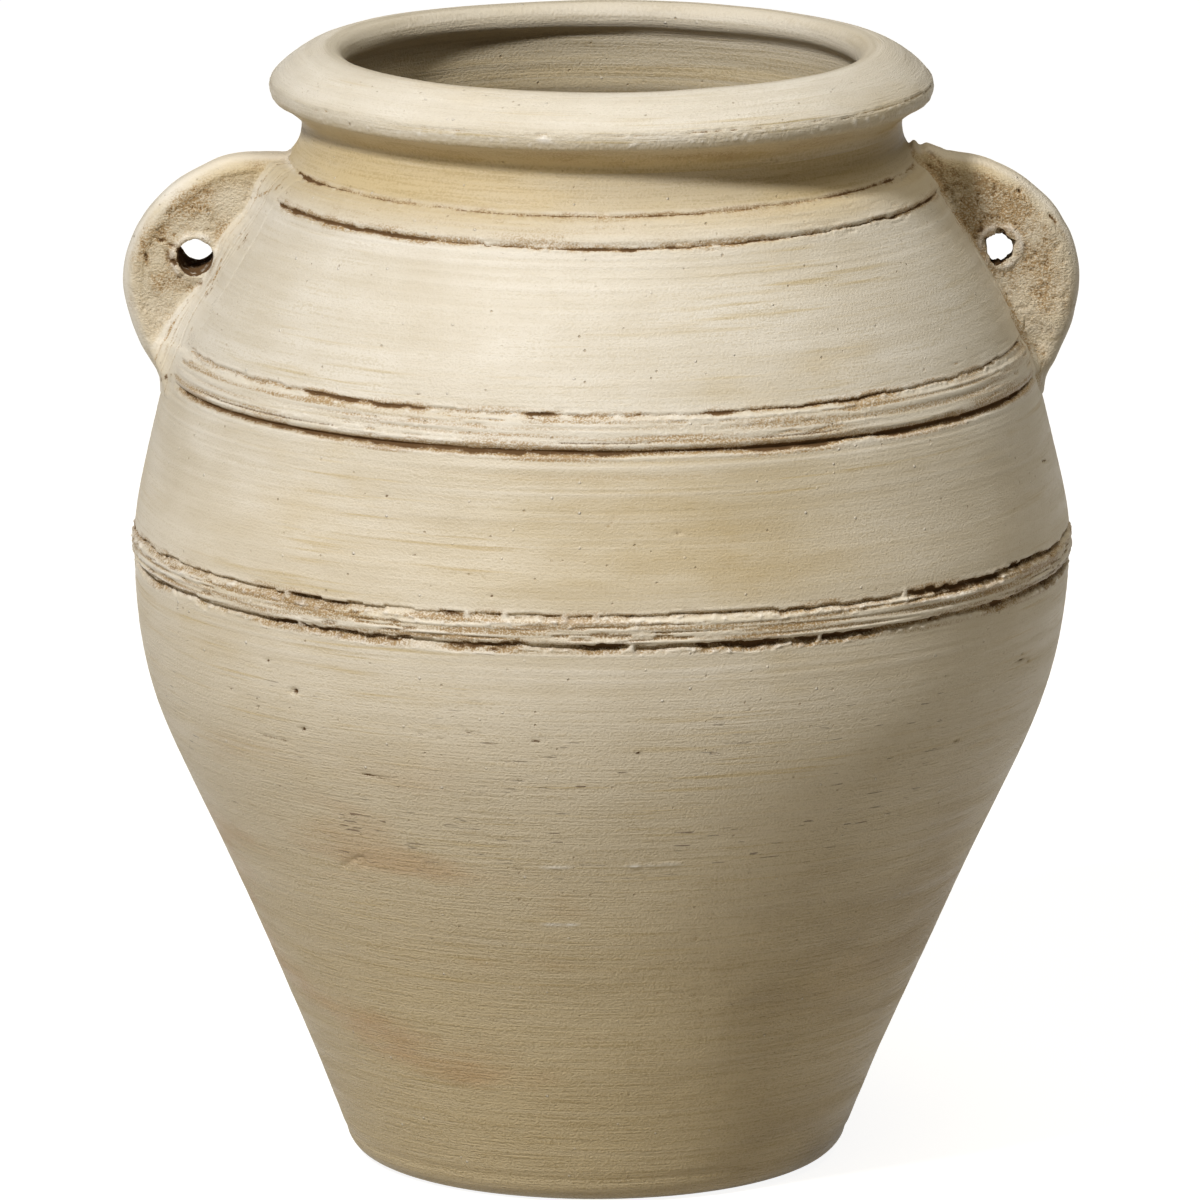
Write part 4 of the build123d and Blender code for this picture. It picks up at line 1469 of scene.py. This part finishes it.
# %% Mix the slips
def slip_material(name, grain, brushed, speckle, contrast, rolled=False, face_wash=0.0):
    """One slip; on a rolled edge the brush lines follow the roll instead of lying level."""
    bowl = slip_bowl(name, rolled)
    cream = wash_layer(bowl, cream_layer(bowl, contrast), face_wash)
    colour = mark_layer(bowl, stain_layer(bowl, cream, contrast))
    colour = speck_layer(bowl, colour, speckle)
    bowl.tree.links.new(colour, bowl.shader.inputs["Base Color"])
    slip_surface(bowl, grain, brushed)
    return bowl.material


SLIP = {
    "slipped_clay": slip_material("cream_slip", 0.7, 0.5, 0.04, 0.8),
    "combed_band": slip_material("combed_slip", 0.8, 0.4, 0.06, 0.5),
    "lug_clay": slip_material("lug_slip", 2.2, 0.05, 0.15, 0.4, face_wash=0.4),
}
RIM_SLIP = slip_material("rim_slip", 1.0, 1.6, 0.04, 0.9, rolled=True)
print("mixed", ", ".join(SLIP))

# %% [markdown]
# ## Putting the pieces in the frame
#
# Each dressed piece stands for one CAD node, rides on the jar's only body, and gets the slip of its kind:
# strip, lug, rim or plain wall.

# %% Hand the pieces to the frame
for node, thing in made.items():
    slot = "combed_band" if node in BAND_NODES else "lug_clay" if node.endswith("lug") else "slipped_clay"
    thing.data.materials.append(RIM_SLIP if node == "rim" else SLIP[slot])
    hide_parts(node)
    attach(thing, "root")
print(len(made), "pieces dressed")

# %% [markdown]
# ## Floor and light
#
# The jar stands on a pale studio floor. The floor is lifted to white for the camera and for reflections
# only, and keeps the jar's shadow.

# %% Lay the floor
FLOOR_SIZE = 16  # metres
floor_mesh = bpy.data.meshes.new("studio_floor")
half = FLOOR_SIZE / 2
corners = [(-half, -half, 0), (half, -half, 0), (half, half, 0), (-half, half, 0)]
floor_mesh.from_pydata(corners, [], [(0, 1, 2, 3)])
floor = put_in_scene("studio_floor", floor_mesh)
floor_paint = bpy.data.materials.new("pale_floor")
floor_paint.use_nodes = True
floor_tree = floor_paint.node_tree
floor_shader = floor_tree.nodes["Principled BSDF"]
floor_shader.inputs["Base Color"].default_value = (0.35, 0.32, 0.26, 1)
floor_shader.inputs["Roughness"].default_value = 0.9
floor_shader.inputs["Emission Color"].default_value = (1, 1, 1, 1)
rays = add_node(floor_tree, "LightPath", {})
seen = times(floor_tree, rays.outputs["Is Camera Ray"], rays.outputs["Is Glossy Ray"], "MAXIMUM")
seen = times(floor_tree, seen, rays.outputs["Is Transmission Ray"], "MAXIMUM")
floor_tree.links.new(times(floor_tree, seen, 0.9), floor_shader.inputs["Emission Strength"])
floor_mesh.materials.append(floor_paint)
print("floor of", FLOOR_SIZE, "m")

# %% [markdown]
# ## Lamps
#
# The photograph's light comes from a soft lamp in front on the left, at half height. A broad and weaker one
# high on the right lifts the shaded side, and the room gives the rest. To the camera the room is white.

# %% Hang the lamps
def soft_lamp(name, turn, rise, away, size, watts, colour):
    """A round soft lamp that looks at the jar from so far round, up and away."""
    lamp_data = bpy.data.lights.new(name, "AREA")
    lamp_data.shape, lamp_data.size, lamp_data.energy = "DISK", size, watts
    lamp_data.color = colour
    lamp = put_in_scene(name, lamp_data)
    turn, rise = math.radians(turn), math.radians(rise)
    toward = Vector((math.sin(turn) * math.cos(rise), -math.cos(turn) * math.cos(rise), math.sin(rise)))
    lamp.location = Vector((0, 0, 0.3)) + toward * away
    lamp.rotation_euler = (-toward).to_track_quat("-Z", "Y").to_euler()
    print(name, watts, "W from", round(math.degrees(rise)), "degrees up")


soft_lamp("key_lamp", -34, 42.5, 5.0, 0.75, 252, (0.97, 0.99, 1.06))
soft_lamp("top_lamp", 60, 72, 3.6, 2.4, 57, (1.0, 0.97, 0.90))
ROOM_LIGHT = 0.07

room = bpy.data.worlds.new("studio_room")
bpy.context.scene.world = room
room.use_nodes = True
room_tree = room.node_tree
backdrop = room_tree.nodes["Background"]
room_rays = add_node(room_tree, "LightPath", {})
to_camera, through_glass = room_rays.outputs["Is Camera Ray"], room_rays.outputs["Is Transmission Ray"]
room_seen = times(room_tree, to_camera, through_glass, "MAXIMUM")
strength = add_node(room_tree, "MapRange", {"Value": room_seen, "To Min": ROOM_LIGHT, "To Max": 1.0})
room_tree.links.new(strength.outputs["Result"], backdrop.inputs["Strength"])
room_colour = lay_over(room_tree, room_seen, (1, 0.95, 0.85, 1), (1, 1, 1, 1))
room_tree.links.new(room_colour, backdrop.inputs["Color"])
bpy.context.scene.view_settings.view_transform = "Standard"
print("room light", ROOM_LIGHT)
